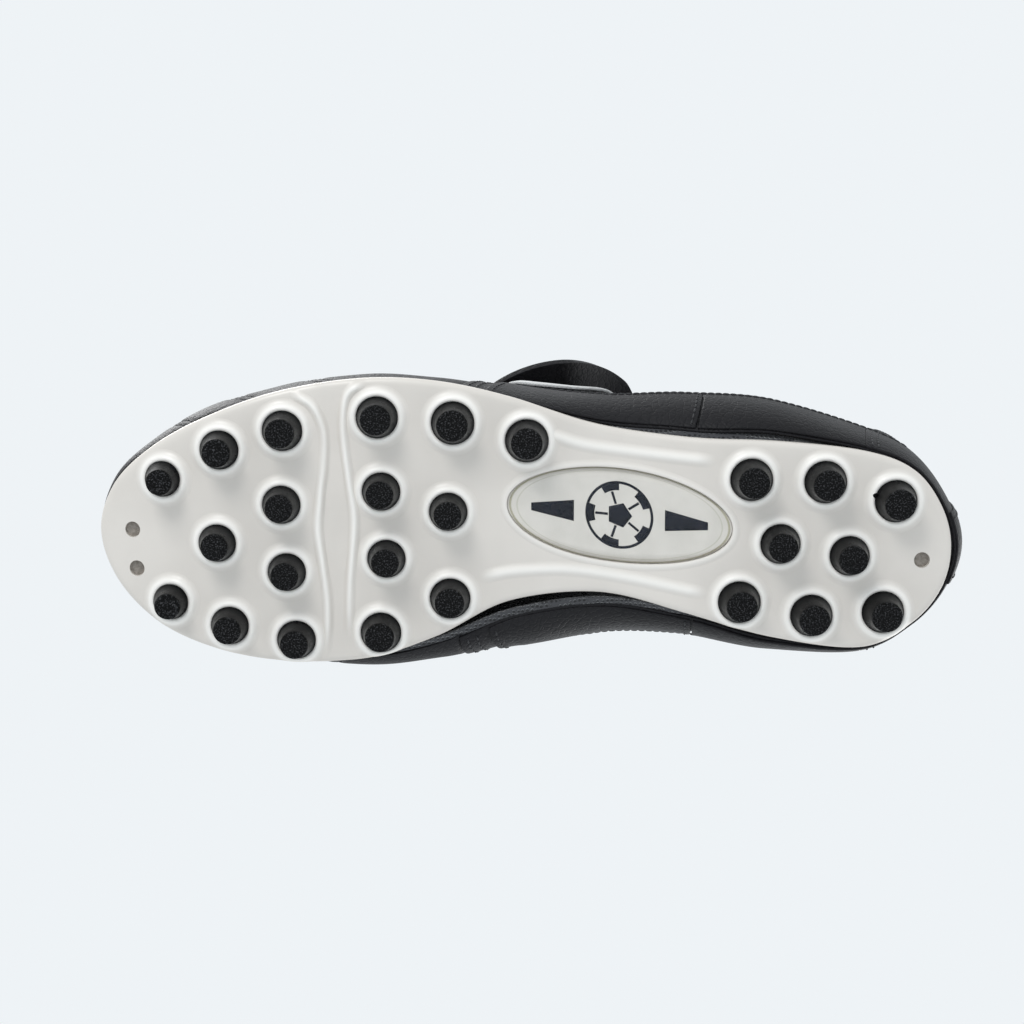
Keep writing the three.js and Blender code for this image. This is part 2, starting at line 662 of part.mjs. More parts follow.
// Lasting board, with a pocket underneath for the shank
const inside = FEATHER_INSET + BED_CLEARANCE;
const boardLow = PLATE + GAP;
const shankStrip = (grow, low, high) =>
  strip({
    from: SHANK.from - grow,
    to: SHANK.to + grow,
    steps: 12,
    middle: () => SHANK.y,
    half: () => SHANK.halfWidth + grow,
    low: (x) => plateTop(x) + low,
    high: (x) => plateTop(x) + high,
  });
const board = soleSlab([[inside, boardLow], [inside, boardLow + BOARD]])
  .subtract(shankStrip(GAP, -1, 2 * GAP + SHANK.thickness));
add('lasting_board_forefoot', board.intersect(toewards), GREY_BOARD);
add('lasting_board_rearfoot', board.intersect(heelwards), GREY_BOARD);
add('shank', shankStrip(0, GAP, GAP + SHANK.thickness), STEEL);

// Sockliner, with a pocket underneath for the heel cushion
const linerLow = boardLow + BOARD + GAP;
const cushionStrip = (grow, low, high) =>
  strip({
    from: CUSHION.x - CUSHION.halfLength - grow,
    to: CUSHION.x + CUSHION.halfLength + grow,
    steps: 14,
    middle: () => CUSHION.y,
    half: (x) => {
      const share = (x - CUSHION.x) / (CUSHION.halfLength + grow);
      return (CUSHION.halfWidth + grow) * Math.sqrt(Math.max(0, 1 - share ** 2));
    },
    low: (x) => plateBottom(x) + low,
    high: (x) => plateBottom(x) + high,
  });
const sockliner = soleSlab([[inside, linerLow], [inside - 1, linerLow + SOCKLINER]])
  .subtract(cushionStrip(GAP, linerLow - 1, linerLow + CUSHION.thickness + GAP));
add('sockliner_forefoot', sockliner.intersect(toewards), BLACK_LINING);
add('sockliner_rearfoot', sockliner.intersect(heelwards), BLACK_LINING);
add('heel_cushion', cushionStrip(0, linerLow, linerLow + CUSHION.thickness), FOAM);

// Stiffeners between lining and leather
const stiffenerLayer = layer(LINING + GAP, LINING + GAP + STIFFENER);
add('heel_counter', stiffenerLayer.intersect(sidePrism(COUNTER)), FOAM);
add('toe_puff', stiffenerLayer.intersect(beside(TOE_PUFF_BACK, 0, WIDE)), FOAM);

// Lining
const lining = punched(liningLayer);
add('lining_forefoot', lining.intersect(toewards), BLACK_LINING);
add('lining_crease', lining.intersect(creaseZone), BLACK_LINING);
add('lining_rearfoot', lining.intersect(heelwards), BLACK_LINING);

// Collar padding, between lining and quarters
const paddingIn = (t, angle) => liningOut(t, angle) + GAP;
const paddingOut = (t) => panelIn(t) - GAP;
function paddingBand() {
  const steps = 11;
  const edge = Array.from({ length: steps + 1 }, (_, i) => {
    const x = THREE.MathUtils.lerp(COLLAR_BACK, PADDING_FRONT, i / steps);
    return [x, heightAlong(TOPLINE, x)];
  });
  const [upper, lower] = PADDING_DEPTH.map((depth) => edge.map(([x, z]) => [x, z - depth]));
  return sidePrism([...lower, ...upper.reverse()]);
}
add('collar_padding', layer(paddingIn, paddingOut).intersect(paddingBand()), FOAM);

// Vamp and quarters
const panels = punched(panelLayer);
const vamp = panels.intersect(vampSide);
add('vamp_forefoot', vamp.intersect(toewards), BLACK_LEATHER);
add('vamp_crease', vamp.intersect(creaseZone), BLACK_LEATHER);
add('vamp_throat', vamp.intersect(heelwards), BLACK_LEATHER);
const quarters = panels.intersect(quarterSide(-GAP / 2));
const heelY = STATIONS[0][1];
add('quarter_lateral', quarters.intersect(half(1, heelY + GAP / 2)), BLACK_LEATHER);
add('quarter_medial', quarters.intersect(half(-1, heelY - GAP / 2)), BLACK_LEATHER);

// Eyestays round the lacing opening
const eyestayBand = planPrism(throatOutline(EYESTAY_WIDTH), 45, 150);
const eyestays = punched(overlayLayer).intersect(eyestayBand);
const lateralOfThroat = half(1, 0).translate([0, throatMiddle(THROAT.front) + GAP / 2, 0]);
const medialOfThroat = half(-1, 0).translate([0, throatMiddle(THROAT.front) - GAP / 2, 0]);
add('eyestay_lateral', eyestays.intersect(lateralOfThroat), BLACK_LEATHER);
add('eyestay_medial', eyestays.intersect(medialOfThroat), BLACK_LEATHER);

// Foxing along the feather line, from the vamp to the heel cover
const foxingTop = curvePoints(FOXING_TOP, 10);
const foxingEnd = foxingTop[foxingTop.length - 1][1];
const foxing = overlayLayer
  .intersect(sidePrism([[WIDE, -10], ...foxingTop, [-WIDE, foxingEnd], [-WIDE, -10]]))
  .intersect(quarterSide(-FOXING_TO_SEAM));
const heelLine = curvePoints(HEEL_LINE, 8);
const frontOfHeelCover = beside(heelLine, GAP / 2, WIDE);
const heelCoverShape = sidePrism([...heelLine.map(([x, z]) => [x - GAP / 2, z]), ...HEEL_COVER_BACK]);
for (const [side, name] of [[1, 'lateral'], [-1, 'medial']]) {
  const strap = foxing.intersect(half(side, across(-4))).subtract(eyestayBand);
  const split = (x, dir) => sidePrism([[x, -20], [x, 120], [x + dir * WIDE, 120], [x + dir * WIDE, -20]]);
  add(`foxing_front_${name}`, strap.intersect(split(FOXING_SPLIT + GAP / 2, 1)), BLACK_LEATHER);
  const rear = strap.intersect(split(FOXING_SPLIT - GAP / 2, -1)).intersect(frontOfHeelCover);
  add(`foxing_rear_${name}`, rear, BLACK_LEATHER);
}
add('heel_cover', overlayLayer.intersect(heelCoverShape), BLACK_LEATHER);

// Backstay strip up the back of the heel
const backstayLayer = layer((t) => overlayOut(t) + GAP, (t) => overlayOut(t) + GAP + BACKSTAY);
const backstayBox = planPrism([
  [-60, heelY - BACKSTAY_WIDTH / 2], [BACKSTAY_FRONT, heelY - BACKSTAY_WIDTH / 2],
  [BACKSTAY_FRONT, heelY + BACKSTAY_WIDTH / 2], [-60, heelY + BACKSTAY_WIDTH / 2],
], -10, 200);
add('backstay', backstayLayer.subtract(opening).intersect(backstayBox), BLACK_LEATHER);

// Tongue under the laces, ending in the bead that the flap folds round
const tongueOut = -(LACE_THICKNESS + 8 * GAP);
const tongueSheet = layer(tongueOut - TONGUE, tongueOut).intersect(planPrism(TONGUE_PLAN, 40, 150));
const foldBead = new THREE.CylinderGeometry(FOLD.bead, FOLD.bead, 2 * FOLD.halfLength, 12);
foldBead.translate(FOLD.x + 1, throatMiddle(FOLD.x), FOLD.z - FOLD.bead);
const foldNeck = new THREE.BoxGeometry(3, 2 * FOLD.halfLength, 10);
foldNeck.translate(FOLD.x + 1.5, throatMiddle(FOLD.x), FOLD.z - FOLD.bead - 5);
add('tongue', tongueSheet.add(solidFrom(foldNeck)).add(solidFrom(foldBead)), BLACK_LEATHER);

// Station, and then angle, at which the foot form passes over a point of the plan
function bisect(low, high, isLow) {
  let [a, b] = [low, high];
  for (let i = 0; i < 30; i += 1) {
    const middle = (a + b) / 2;
    if (isLow(middle)) a = middle;
    else b = middle;
  }
  return a;
}

// Height of the foot form over a point of the plan, at an offset
function formHeight(x, y, offset) {
  const t = bisect(0, TOE, (value) => station(value).x < x);
  const point = (angle) => formPoint(t, angle, valueOf(offset)(t));
  const centre = point(90)[1];
  const far = Math.abs(y - centre);
  const angle = bisect(90, y > centre ? 0 : 180, (value) => Math.abs(point(value)[1] - centre) < far);
  return point(angle)[2];
}

// Flat lace along a route, its width square to the route and as near the instep's slope as it can be
const INSTEP_SLOPE = new THREE.Vector3(1, 0, -0.32);
function laceAlong(route, width = LACE_WIDTH, reference = INSTEP_SLOPE) {
  const points = route.map((p) => new THREE.Vector3(...p));
  return loft(
    points.map((point, i) => {
      const before = points[Math.max(i - 1, 0)];
      const after = points[Math.min(i + 1, points.length - 1)];
      const heading = after.clone().sub(before).normalize();
      const side = reference.clone().addScaledVector(heading, -reference.dot(heading)).normalize();
      const up = heading.clone().cross(side);
      const corner = (a, b) =>
        point.clone()
          .addScaledVector(side, (a * width) / 2)
          .addScaledVector(up, (b * LACE_THICKNESS) / 2)
          .toArray();
      return [corner(-1, -1), corner(1, -1), corner(1, 1), corner(-1, 1)];
    }),
  );
}

// Crossed up through the eyelets: each crossing leaves the top of an eyelet, dips over the tongue and
// comes up through the next eyelet back on the other side from underneath
const laceOver = (t) => overlayOut(t) + LACE_THICKNESS / 2 + 3 * GAP;
const laceUnder = tongueOut / 2;
const onTongue = tongueOut + LACE_THICKNESS / 2 + 3 * GAP;
const eyeletAt = (row, side) => {
  const x = EYELET_X[row];
  return [x, throatMiddle(x) + side * (throatHalf(x) + EYELET_INSET)];
};
function crossing(row, side, lift) {
  const [from, to] = [eyeletAt(row, side), eyeletAt(row + 1, -side)];
  const stop = (share, offset) => {
    const [x, y] = [from[0] + (to[0] - from[0]) * share, from[1] + (to[1] - from[1]) * share];
    return [x, y, formHeight(x, y, offset)];
  };
  return [
    stop(0, laceOver),
    stop(0.09, laceOver),
    stop(0.18, laceOver),
    stop(0.34, onTongue + lift + 1),
    stop(0.5, onTongue + lift),
    stop(0.6, onTongue + lift / 2),
    stop(0.71, laceUnder),
    stop(0.86, laceUnder),
    stop(1, laceUnder),
  ];
}

// Above the eyestays at the sides, and down on the tongue in the middle, where the knot sits
const knotY = throatMiddle(KNOT.x);
const tied = (t, distance) => THREE.MathUtils.lerp(0.8, laceOver(t), smooth(6, 18, distance));

const rowsUp = EYELET_X.length - 1;
function strand(side, lift) {
  const route = [];
  for (let row = 0; row < rowsUp; row += 1) route.push(...crossing(row, row % 2 ? -side : side, lift));
  const last = eyeletAt(rowsUp, rowsUp % 2 ? -side : side);
  const toKnot = (share) => {
    const [x, y] = [last[0] - 1.5 * share, last[1] + (knotY - last[1]) * share];
    return [x, y, formHeight(x, y, (t) => tied(t, Math.abs(y - knotY)))];
  };
  return [...route, ...[0, 0.2, 0.4, 0.6, 0.76].map(toKnot)];
}
const frontBar = [1, 0.5, 0, -0.5, -1].map((share) => {
  const [[x, y0], [, y1]] = [eyeletAt(0, 1), eyeletAt(0, -1)];
  const y = (y0 + y1) / 2 + ((y0 - y1) / 2) * share;
  return [x, y, formHeight(x, y, laceUnder)];
});
const lift = LACE_THICKNESS + 2 * GAP;
add('lace', laceAlong([...strand(1, 0).reverse(), ...frontBar, ...strand(-1, lift)]), WHITE_LACE);

// Bow under the flap: a knot, two loops and two tails that end in tips
const BOW_LIFT = LACE_THICKNESS + 4 * GAP;
const knotZ = formHeight(KNOT.x, knotY, 2);
const bowPoint = ([dx, dy]) => {
  const [x, y] = [KNOT.x + dx, knotY + dy];
  const offset = (t) => THREE.MathUtils.lerp(0.8, laceOver(t), smooth(4, 13, Math.abs(dy))) + BOW_LIFT;
  return [x, y, formHeight(x, y, offset)];
};
const onEdge = new THREE.Vector3(0.3, 0.05, 1);
const mirrorY = (points, side) => points.map(([dx, dy]) => [dx, side * dy]);
const knot = new THREE.SphereGeometry(1, 10, 6).scale(KNOT.halfLength, KNOT.halfWidth, KNOT.height / 2);
let bow = solidFrom(knot.translate(KNOT.x, knotY, knotZ));
for (const side of [1, -1]) {
  const lying = new THREE.Vector3(side * 0.6, -1, 0);
  bow = bow.add(laceAlong(mirrorY(LOOP, side).map(bowPoint), LACE_WIDTH * 0.6, onEdge));
  bow = bow.add(laceAlong(mirrorY(TAIL, side).map(bowPoint), LACE_WIDTH, lying));
  const tip = laceAlong(mirrorY(TIP, side).map(bowPoint), LACE_WIDTH / 2, lying);
  add(side > 0 ? 'lace_tip_lateral' : 'lace_tip_medial', tip, WHITE_LACE);
}
add('lace_bow', bow, WHITE_LACE);

// Flap folded over the laces: half width and height of its underside along the shoe
const flapHalf = (x) => {
  const reach = x < FLAP_SHAPE.widest ? FLAP_SHAPE.back : FLAP_FRONT - FLAP_SHAPE.widest;
  return FLAP_SHAPE.half * Math.sqrt(Math.max(0, 1 - ((x - FLAP_SHAPE.widest) / reach) ** 2));
};
function flap() {
  const rings = [];
  const steps = 16;
  const from = FOLD.x + 1;
  for (let i = 0; i <= steps; i += 1) {
    const x = from + (FLAP_FRONT - from) * Math.sin((Math.PI * i) / (2 * steps));
    const width = flapHalf(x);
    const ring = [];
    const droop = FLAP_DROOP.by * smooth(6, 40, x - from);
    const level = FOLD.z + 2 * GAP - FLAP_FALL * (x - from);
    const height = (y) => level - droop * (y / FLAP_DROOP.at) ** 2;
    const spread = [-1, -0.75, -0.5, -0.25, 0, 0.25, 0.5, 0.75, 1].map((share) => share * width);
    for (const y of spread) ring.push([x, FLAP_SHAPE.y + y, height(y)]);
    for (const y of spread.reverse()) ring.push([x, FLAP_SHAPE.y + y, height(y) + FLAP]);
    rings.push(ring);
  }
  return loft(rings);
}
add('tongue_flap', flap(), BLACK_LEATHER);

// ---- Centre the shoe over its origin ------------------------------------------------------------

const box = new THREE.Box3().setFromObject(shoe);
shoe.position.set(-(box.min.x + box.max.x) / 2, -(box.min.y + box.max.y) / 2, 0);

export default shoe;
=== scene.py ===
import math

import bpy
import numpy as np
from mathutils import Matrix, Vector


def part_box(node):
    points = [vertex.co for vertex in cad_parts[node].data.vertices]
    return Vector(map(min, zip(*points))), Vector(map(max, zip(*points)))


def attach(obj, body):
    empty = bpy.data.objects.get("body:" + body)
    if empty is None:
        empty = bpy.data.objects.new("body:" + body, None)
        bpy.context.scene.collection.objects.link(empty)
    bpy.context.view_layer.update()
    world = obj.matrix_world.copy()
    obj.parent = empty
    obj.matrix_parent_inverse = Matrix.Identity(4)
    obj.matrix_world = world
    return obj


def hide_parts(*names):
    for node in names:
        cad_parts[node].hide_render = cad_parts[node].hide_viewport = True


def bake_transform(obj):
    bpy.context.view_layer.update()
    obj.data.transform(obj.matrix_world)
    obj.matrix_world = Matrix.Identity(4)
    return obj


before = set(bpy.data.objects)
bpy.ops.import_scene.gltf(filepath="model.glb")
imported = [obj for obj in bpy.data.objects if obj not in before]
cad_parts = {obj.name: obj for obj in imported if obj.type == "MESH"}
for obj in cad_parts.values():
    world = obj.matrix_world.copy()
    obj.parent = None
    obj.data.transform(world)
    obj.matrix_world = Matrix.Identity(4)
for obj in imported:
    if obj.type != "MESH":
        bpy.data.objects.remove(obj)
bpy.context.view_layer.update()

# ---- Camera, floor and light ---------------------------------------------------------------------
# The shoe is looked at from underneath, nine degrees off square, with its toe to the left. The floor is a
# plain pale sheet below the camera, and three large soft lamps stand round it.

look_at = Vector((0.0087, 0.0057, 0.0105))
tilt = math.radians(9)
towards_camera = Vector((0, math.sin(tilt), -math.cos(tilt)))
image_up = Vector((0, math.cos(tilt), math.sin(tilt)))
image_right = Vector((-1, 0, 0))

camera_data = bpy.data.cameras.new("camera")
camera_data.lens = 72.8
camera_data.clip_start = 0.01
camera = bpy.data.objects.new("camera", camera_data)
bpy.context.scene.collection.objects.link(camera)
camera.matrix_world = Matrix.LocRotScale(
    look_at + towards_camera * 0.7,
    Matrix((image_right, image_up, towards_camera)).transposed().to_quaternion(),
    None,
)
bpy.context.scene.camera = camera
bpy.context.scene.view_settings.view_transform = "Standard"


def lamp(name, place, size, power, colour=(1, 1, 1)):
    """A soft square lamp that points at the shoe and isn't itself seen."""
    data = bpy.data.lights.new(name, "AREA")
    data.size, data.energy, data.color = size, power, colour
    lit = bpy.data.objects.new(name, data)
    lit.location = place
    lit.rotation_euler = (-Vector(place)).to_track_quat("-Z", "Y").to_euler()
    lit.visible_camera = False
    bpy.context.scene.collection.objects.link(lit)


lamp("key_below", (0.35, 0.85, -0.6), 0.4, 4.4)
lamp("fill_below", (-0.5, -0.55, -0.7), 0.9, 0.6)
lamp("key_above", (0.5, 0.6, 0.9), 0.7, 7)
lamp("fill_above", (-0.7, -0.6, 0.7), 0.9, 4)

bpy.ops.object.select_all(action="DESELECT")
bpy.ops.mesh.primitive_plane_add(size=30, location=(0, 0, -1.6))
floor = bpy.context.object
floor.name = "floor"

world = bpy.data.worlds.new("studio")
bpy.context.scene.world = world
world.use_nodes = True
sky = world.node_tree.nodes["Background"]
sky.inputs["Color"].default_value = (0.858, 0.895, 0.922, 1)
sky.inputs["Strength"].default_value = 1.0


class Value:
    """A shader socket that Python arithmetic works on: every operation adds its Math node."""

    def __init__(self, tree, socket):
        self.tree, self.socket = tree, socket

    def math(self, operation, *others):
        node = self.tree.nodes.new("ShaderNodeMath")
        node.operation = operation
        for socket, value in zip(node.inputs, (self, *others)):
            if isinstance(value, Value):
                self.tree.links.new(value.socket, socket)
            else:
                socket.default_value = value
        return Value(self.tree, node.outputs[0])

    def flipped(self, operation, other):
        node = self.tree.nodes.new("ShaderNodeMath")
        node.operation = operation
        node.inputs[0].default_value = other
        self.tree.links.new(self.socket, node.inputs[1])
        return Value(self.tree, node.outputs[0])

    def __add__(self, other):
        return self.math("ADD", other)

    def __sub__(self, other):
        return self.math("SUBTRACT", other)

    def __mul__(self, other):
        return self.math("MULTIPLY", other)

    def __pow__(self, other):
        return self.math("POWER", other)

    def __rsub__(self, other):
        return self.flipped("SUBTRACT", other)

    __radd__ = __add__
    __rmul__ = __mul__


class Finish:
    """A material in the making, with its node tree and its shader."""

    def __init__(self, name, colour, roughness, **constants):
        self.material = bpy.data.materials.new(name)
        self.material.use_nodes = True
        self.tree = self.material.node_tree
        self.shader = self.tree.nodes["Principled BSDF"]
        self.material.diffuse_color = (*colour, 1)
        self.set("Base Color", (*colour, 1))
        self.set("Roughness", roughness)
        for socket, value in constants.items():
            self.set(socket.replace("_", " "), value)

    def set(self, socket, value):
        """Gives the shader a constant, or a link from a value."""
        if isinstance(value, Value):
            self.tree.links.new(value.socket, self.shader.inputs[socket])
        else:
            self.shader.inputs[socket].default_value = value

    def node(self, kind, settings=None, inputs=None, output=0):
        """Any node: its type, its settings, its sockets' values or links, and which output is wanted."""
        made = self.tree.nodes.new("ShaderNode" + kind)
        for name, value in (settings or {}).items():
            setattr(made, name, value)
        for name, value in (inputs or {}).items():
            if isinstance(value, Value):
                self.tree.links.new(value.socket, made.inputs[name])
            else:
                made.inputs[name].default_value = value
        return Value(self.tree, made.outputs[output])

    def place(self):
        return self.node("TexCoord", output="Object")

    def noise(self, scale, detail=3, roughness=0.5, vector=None):
        inputs = {"Vector": vector or self.place(), "Scale": scale, "Detail": detail, "Roughness": roughness}
        return self.node("TexNoise", {}, inputs)

    def cells(self, scale, feature="F1", vector=None, randomness=1):
        inputs = {"Vector": vector or self.place(), "Scale": scale, "Randomness": randomness}
        return self.node("TexVoronoi", {"feature": feature}, inputs, "Distance")

    def ramp(self, value, low, high, to_low=0, to_high=1):
        """A value eased from one range to another."""
        inputs = {0: value, 1: low, 2: high, 3: to_low, 4: to_high}
        return self.node("MapRange", {"interpolation_type": "SMOOTHSTEP"}, inputs)

    def mix(self, factor, first, second):
        inputs = {0: factor}
        for slot, colour in ((6, first), (7, second)):
            inputs[slot] = colour if isinstance(colour, Value) else (*colour, 1)
        return self.node("Mix", {"data_type": "RGBA"}, inputs, 2)

    def tones(self, factor, first, second):
        """The base colour, anywhere from one colour to another."""
        self.set("Base Color", self.mix(factor, first, second))

    def relief(self, height, distance, strength):
        """A bump over the whole surface, with its distance in metres."""
        inputs = {"Height": height, "Distance": distance, "Strength": strength}
        self.set("Normal", self.node("Bump", {}, inputs))


paper = Finish("floor_paper", (0.80, 0.83, 0.86), 0.9)
paper.set("Roughness", paper.ramp(paper.noise(3), 0.3, 0.7, 0.85, 0.95))
floor.data.materials.append(paper.material)

# ---- Outsole -------------------------------------------------------------------------------------
# The moulded white plate, one piece from heel to toe: a raised collar round every stud, ridge lines beside
# the flex channel, rails along the arch, a rimmed oval recess and three moulding holes.

PLATE = 3.0
STUD_HEIGHT = 10.5
HINGE_X = 209.0
TOE = 14
OVAL = {"x": 112.7, "y": 2.3, "length": 38.3, "width": 16.3, "slope": 0.117}
window_low, window_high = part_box("oval_window")
SHIFT = (window_low + window_high) * 500 - Vector((OVAL["x"], OVAL["y"], 0))
SHIFT.z = 0

# Stations of the last, heel to toe: x; lateral and medial edge of the sole; how far the foot form stands
# out over each edge; height of its widest line over the plate; top line x, y, z; fullness of its shoulders
STATIONS = [
    (0, -9, -9, 1.5, 1.5, 30, 16, -9, 112, 2.4),
    (3.2, 5, -23, -0.2, -0.6, 30, 18, -9, 112, 2.4),
    (13, 18, -34.8, -0.8, -1.6, 29, 24, -8.5, 112, 2.4),
    (30, 24.6, -43, 0.6, -0.8, 28, 35, -7, 112, 2.35),
    (60, 28, -39.6, 6, 2.6, 26, 60, -4, 109, 2.2),
    (90, 29.2, -31.5, 9, 7.6, 24, 90, -2.5, 101, 1.95),
    (120, 33.4, -24.3, 4.4, 15, 22, 120, -3, 91.5, 1.85),
    (150, 43, -26.8, -2, 16, 18, 150, -4.5, 81, 1.85),
    (175, 48.3, -39.2, -3.2, 8, 14, 175, -6, 72.5, 1.9),
    (200, 49.2, -47, -2.8, 1.8, 12, 200, -7.5, 64, 2),
    (228, 44.8, -47.6, -2.4, -3, 11, 228, -8, 56, 2.1),
    (252, 36.3, -43.2, -2.3, -5.4, 9, 252, -8, 48.5, 2.2),
    (271.2, 25.8, -34.8, -2.8, -6.2, 7.5, 269.5, -7, 41.5, 2.3),
    (285.4, 12.4, -20.8, -3.2, -6, 5, 280.5, -5, 34, 2.3),
    (291, -4, -4, -4.6, -5.4, 3, 285, -4, 25.5, 2.2),
]
SOLE_LENGTH = STATIONS[TOE][0]


def mirrored(row, top):
    x, lat, med, over_lat, over_med, waist, top_x, top_y, _, full = row
    return (x, med, lat, over_med, over_lat, waist, top_x, top_y, top, full)


before_heel = mirrored(STATIONS[1], STATIONS[1][8])
past_toe = mirrored(STATIONS[TOE - 1], 2 * STATIONS[TOE][8] - STATIONS[TOE - 1][8])
ROWS = np.array([before_heel, *STATIONS, past_toe], float)


def last(t):
    """Values and slopes of every column of the stations, at station t."""
    t = np.clip(np.asarray(t, float), 0, TOE)
    i = np.minimum(t.astype(int), TOE - 1)
    f = (t - i)[:, None]
    a, b, c, d = ROWS[i], ROWS[i + 1], ROWS[i + 2], ROWS[i + 3]
    square, cube = 2 * a - 5 * b + 4 * c - d, 3 * (b - c) + d - a
    value = b + 0.5 * f * (c - a + (cube * f + square) * f)
    slope = 0.5 * (c - a + f * (2 * square + 3 * f * cube))
    return value, slope


def plate_bottom(x):
    """Level under the heel and the ball, raised at the arch and the toe."""
    arch = np.clip((x - 70) / 78, 0, 1)
    toe = np.maximum(0, (x - 232) / (SOLE_LENGTH - 232))
    return STUD_HEIGHT + 3.5 * np.sin(np.pi * arch) ** 2 + 12 * toe**2


def level_at(x):
    return float(plate_bottom(np.array(x)))


def outline(t, side, offset):
    """The sole's edge on one side (1 lateral, -1 medial), moved outwards."""
    value, slope = last(t)
    edge = np.where(side > 0, value[:, 1], value[:, 2])
    rise = np.where(side > 0, slope[:, 1], slope[:, 2])
    length = np.hypot(slope[:, 0], rise)
    return value[:, 0] - side * offset * rise / length, edge + side * offset * slope[:, 0] / length


def eased(x, low, high):
    f = np.clip((x - low) / (high - low), 0, 1)
    return f * f * (3 - 2 * f)


def tabled(function, low, high, count=400):
    """A slow function of one number, looked up in a table from then on."""
    at = np.linspace(low, high, count)
    found = function(at)
    return lambda value: np.interp(value, at, found)


ALL_T = np.linspace(0, TOE, 1500)
ALL_X = last(ALL_T)[0][:, 0]


def crowned(wave, power):
    """A sine or cosine made squarer, or rounder, with its sign kept."""
    return np.sign(wave) * np.abs(wave) ** power


def station_at(x):
    return np.interp(x, ALL_X, ALL_T)


def smooth_line(points, count):
    """Points along a smooth line through a few chosen ones."""
    p = np.array(points, float)
    p = np.vstack([2 * p[0] - p[1], p, 2 * p[-1] - p[-2]])
    at = np.linspace(0, len(points) - 1, count)
    i = np.minimum(at.astype(int), len(points) - 2)
    f = (at - i)[:, None]
    a, b, c, d = p[i], p[i + 1], p[i + 2], p[i + 3]
    return b + 0.5 * f * (c - a + ((3 * (b - c) + d - a) * f + 2 * a - 5 * b + 4 * c - d) * f)


def in_frame(points):
    """Maker's millimetres, from the heel end of the sole, to the frame's metres."""
    return (points + np.array(SHIFT)) / 1000


def only(piece):
    """Leaves one piece selected and active."""
    bpy.ops.object.select_all(action="DESELECT")
    piece.select_set(True)
    bpy.context.view_layer.objects.active = piece


def surface(name, rows, columns, place, closed=True):
    """A grid with each corner moved to place(u, v), u and v from 0 to 1, and its doubles merged."""
    bpy.ops.object.select_all(action="DESELECT")
    bpy.ops.mesh.primitive_grid_add(x_subdivisions=rows, y_subdivisions=columns, size=2)
    piece = bpy.context.object
    piece.name = piece.data.name = name
    corners = np.empty(len(piece.data.vertices) * 3)
    piece.data.vertices.foreach_get("co", corners)
    u, v = (corners.reshape(-1, 3)[:, :2].T + 1) / 2
    piece.data.vertices.foreach_set("co", in_frame(place(u, v)).ravel())
    piece.data.update()
    bpy.ops.object.mode_set(mode="EDIT")
    bpy.ops.mesh.select_all(action="SELECT")
    bpy.ops.mesh.remove_doubles(threshold=0.00002)
    if closed:
        bpy.ops.mesh.normals_make_consistent(inside=False)
    bpy.ops.object.mode_set(mode="OBJECT")
    bpy.ops.object.shade_smooth()
    return piece


def facing(piece, way):
    """Turns all the faces of an open sheet up (1) or down (-1)."""
    if way * sum(face.normal.z * face.area for face in piece.data.polygons) < 0:
        piece.data.flip_normals()


def added(add, name, **shape):
    """A primitive, on its own in the selection."""
    bpy.ops.object.select_all(action="DESELECT")
    add(**shape)
    piece = bpy.context.object
    piece.name = piece.data.name = name
    return piece


def joined(name, pieces):
    bpy.ops.object.select_all(action="DESELECT")
    for piece in pieces:
        piece.select_set(True)
    bpy.context.view_layer.objects.active = pieces[0]
    bpy.ops.object.join()
    pieces[0].name = pieces[0].data.name = name
    return pieces[0]


def modified(piece, kind, **settings):
    """Adds a modifier with these settings and applies it."""
    only(piece)
    modifier = piece.modifiers.new(kind.lower(), kind)
    for setting, value in settings.items():
        setattr(modifier, setting, value)
    bpy.ops.object.modifier_apply(modifier=modifier.name)
    return piece


def rounded(piece, width, segments=2, degrees=60):
    """Bevels the sharp edges, by a width in millimetres."""
    limit = {"limit_method": "ANGLE", "angle_limit": math.radians(degrees)}
    modified(piece, "BEVEL", width=width / 1000, segments=segments, **limit)


def smooth_edges(piece, degrees):
    only(piece)
    bpy.ops.object.shade_smooth_by_angle(angle=math.radians(degrees))
    return piece


EDGE = 2.4
EDGE_RISE = 1.6
lateral_edge = tabled(lambda x: outline(station_at(x), 1, 0)[1], 0, SOLE_LENGTH, 1200)
medial_edge = tabled(lambda x: outline(station_at(x), -1, 0)[1], 0, SOLE_LENGTH, 1200)


CHANNEL_DEPTH = 0.55
CHANNEL_LEAN = 0.03
CHANNEL_EDGE, CHANNEL_FLOOR = 5.2, 2.4


def flex_channel(x, y):
    """Depth of the shallow channel across the ball of the foot."""
    return CHANNEL_DEPTH * eased(np.abs(x - HINGE_X - CHANNEL_LEAN * y), CHANNEL_EDGE, CHANNEL_FLOOR)


def on_underside(x, y, height):
    """A point that stands some height proud of the plate's underside, kept inside its outline."""
    y = np.clip(y, medial_edge(x) + 0.02, lateral_edge(x) - 0.02)
    inset = np.minimum(lateral_edge(x) - y, y - medial_edge(x))
    turn = np.clip((EDGE - inset) / EDGE, 0, 1)
    rounding = EDGE_RISE * (1 - np.sqrt(1 - turn**2))
    return np.column_stack([x, y, plate_bottom(x) + rounding + flex_channel(x, y) - height])


SECTION = [(0, 0, PLATE)]
for turn in (90, 72, 54, 36, 18, 0):
    sine, cosine = math.sin(math.radians(turn)), math.cos(math.radians(turn))
    SECTION.append((0, EDGE * (1 - sine), EDGE_RISE * (1 - cosine)))
SECTION += [(k / 40, EDGE, 0) for k in range(1, 40)]
SECTION += [(1, inset, height) for _, inset, height in reversed(SECTION[1:7])]
SECTION += [(1, 0, PLATE)] + [(k / 8, 0, PLATE) for k in range(7, -1, -1)]
SECTION = np.array(SECTION)


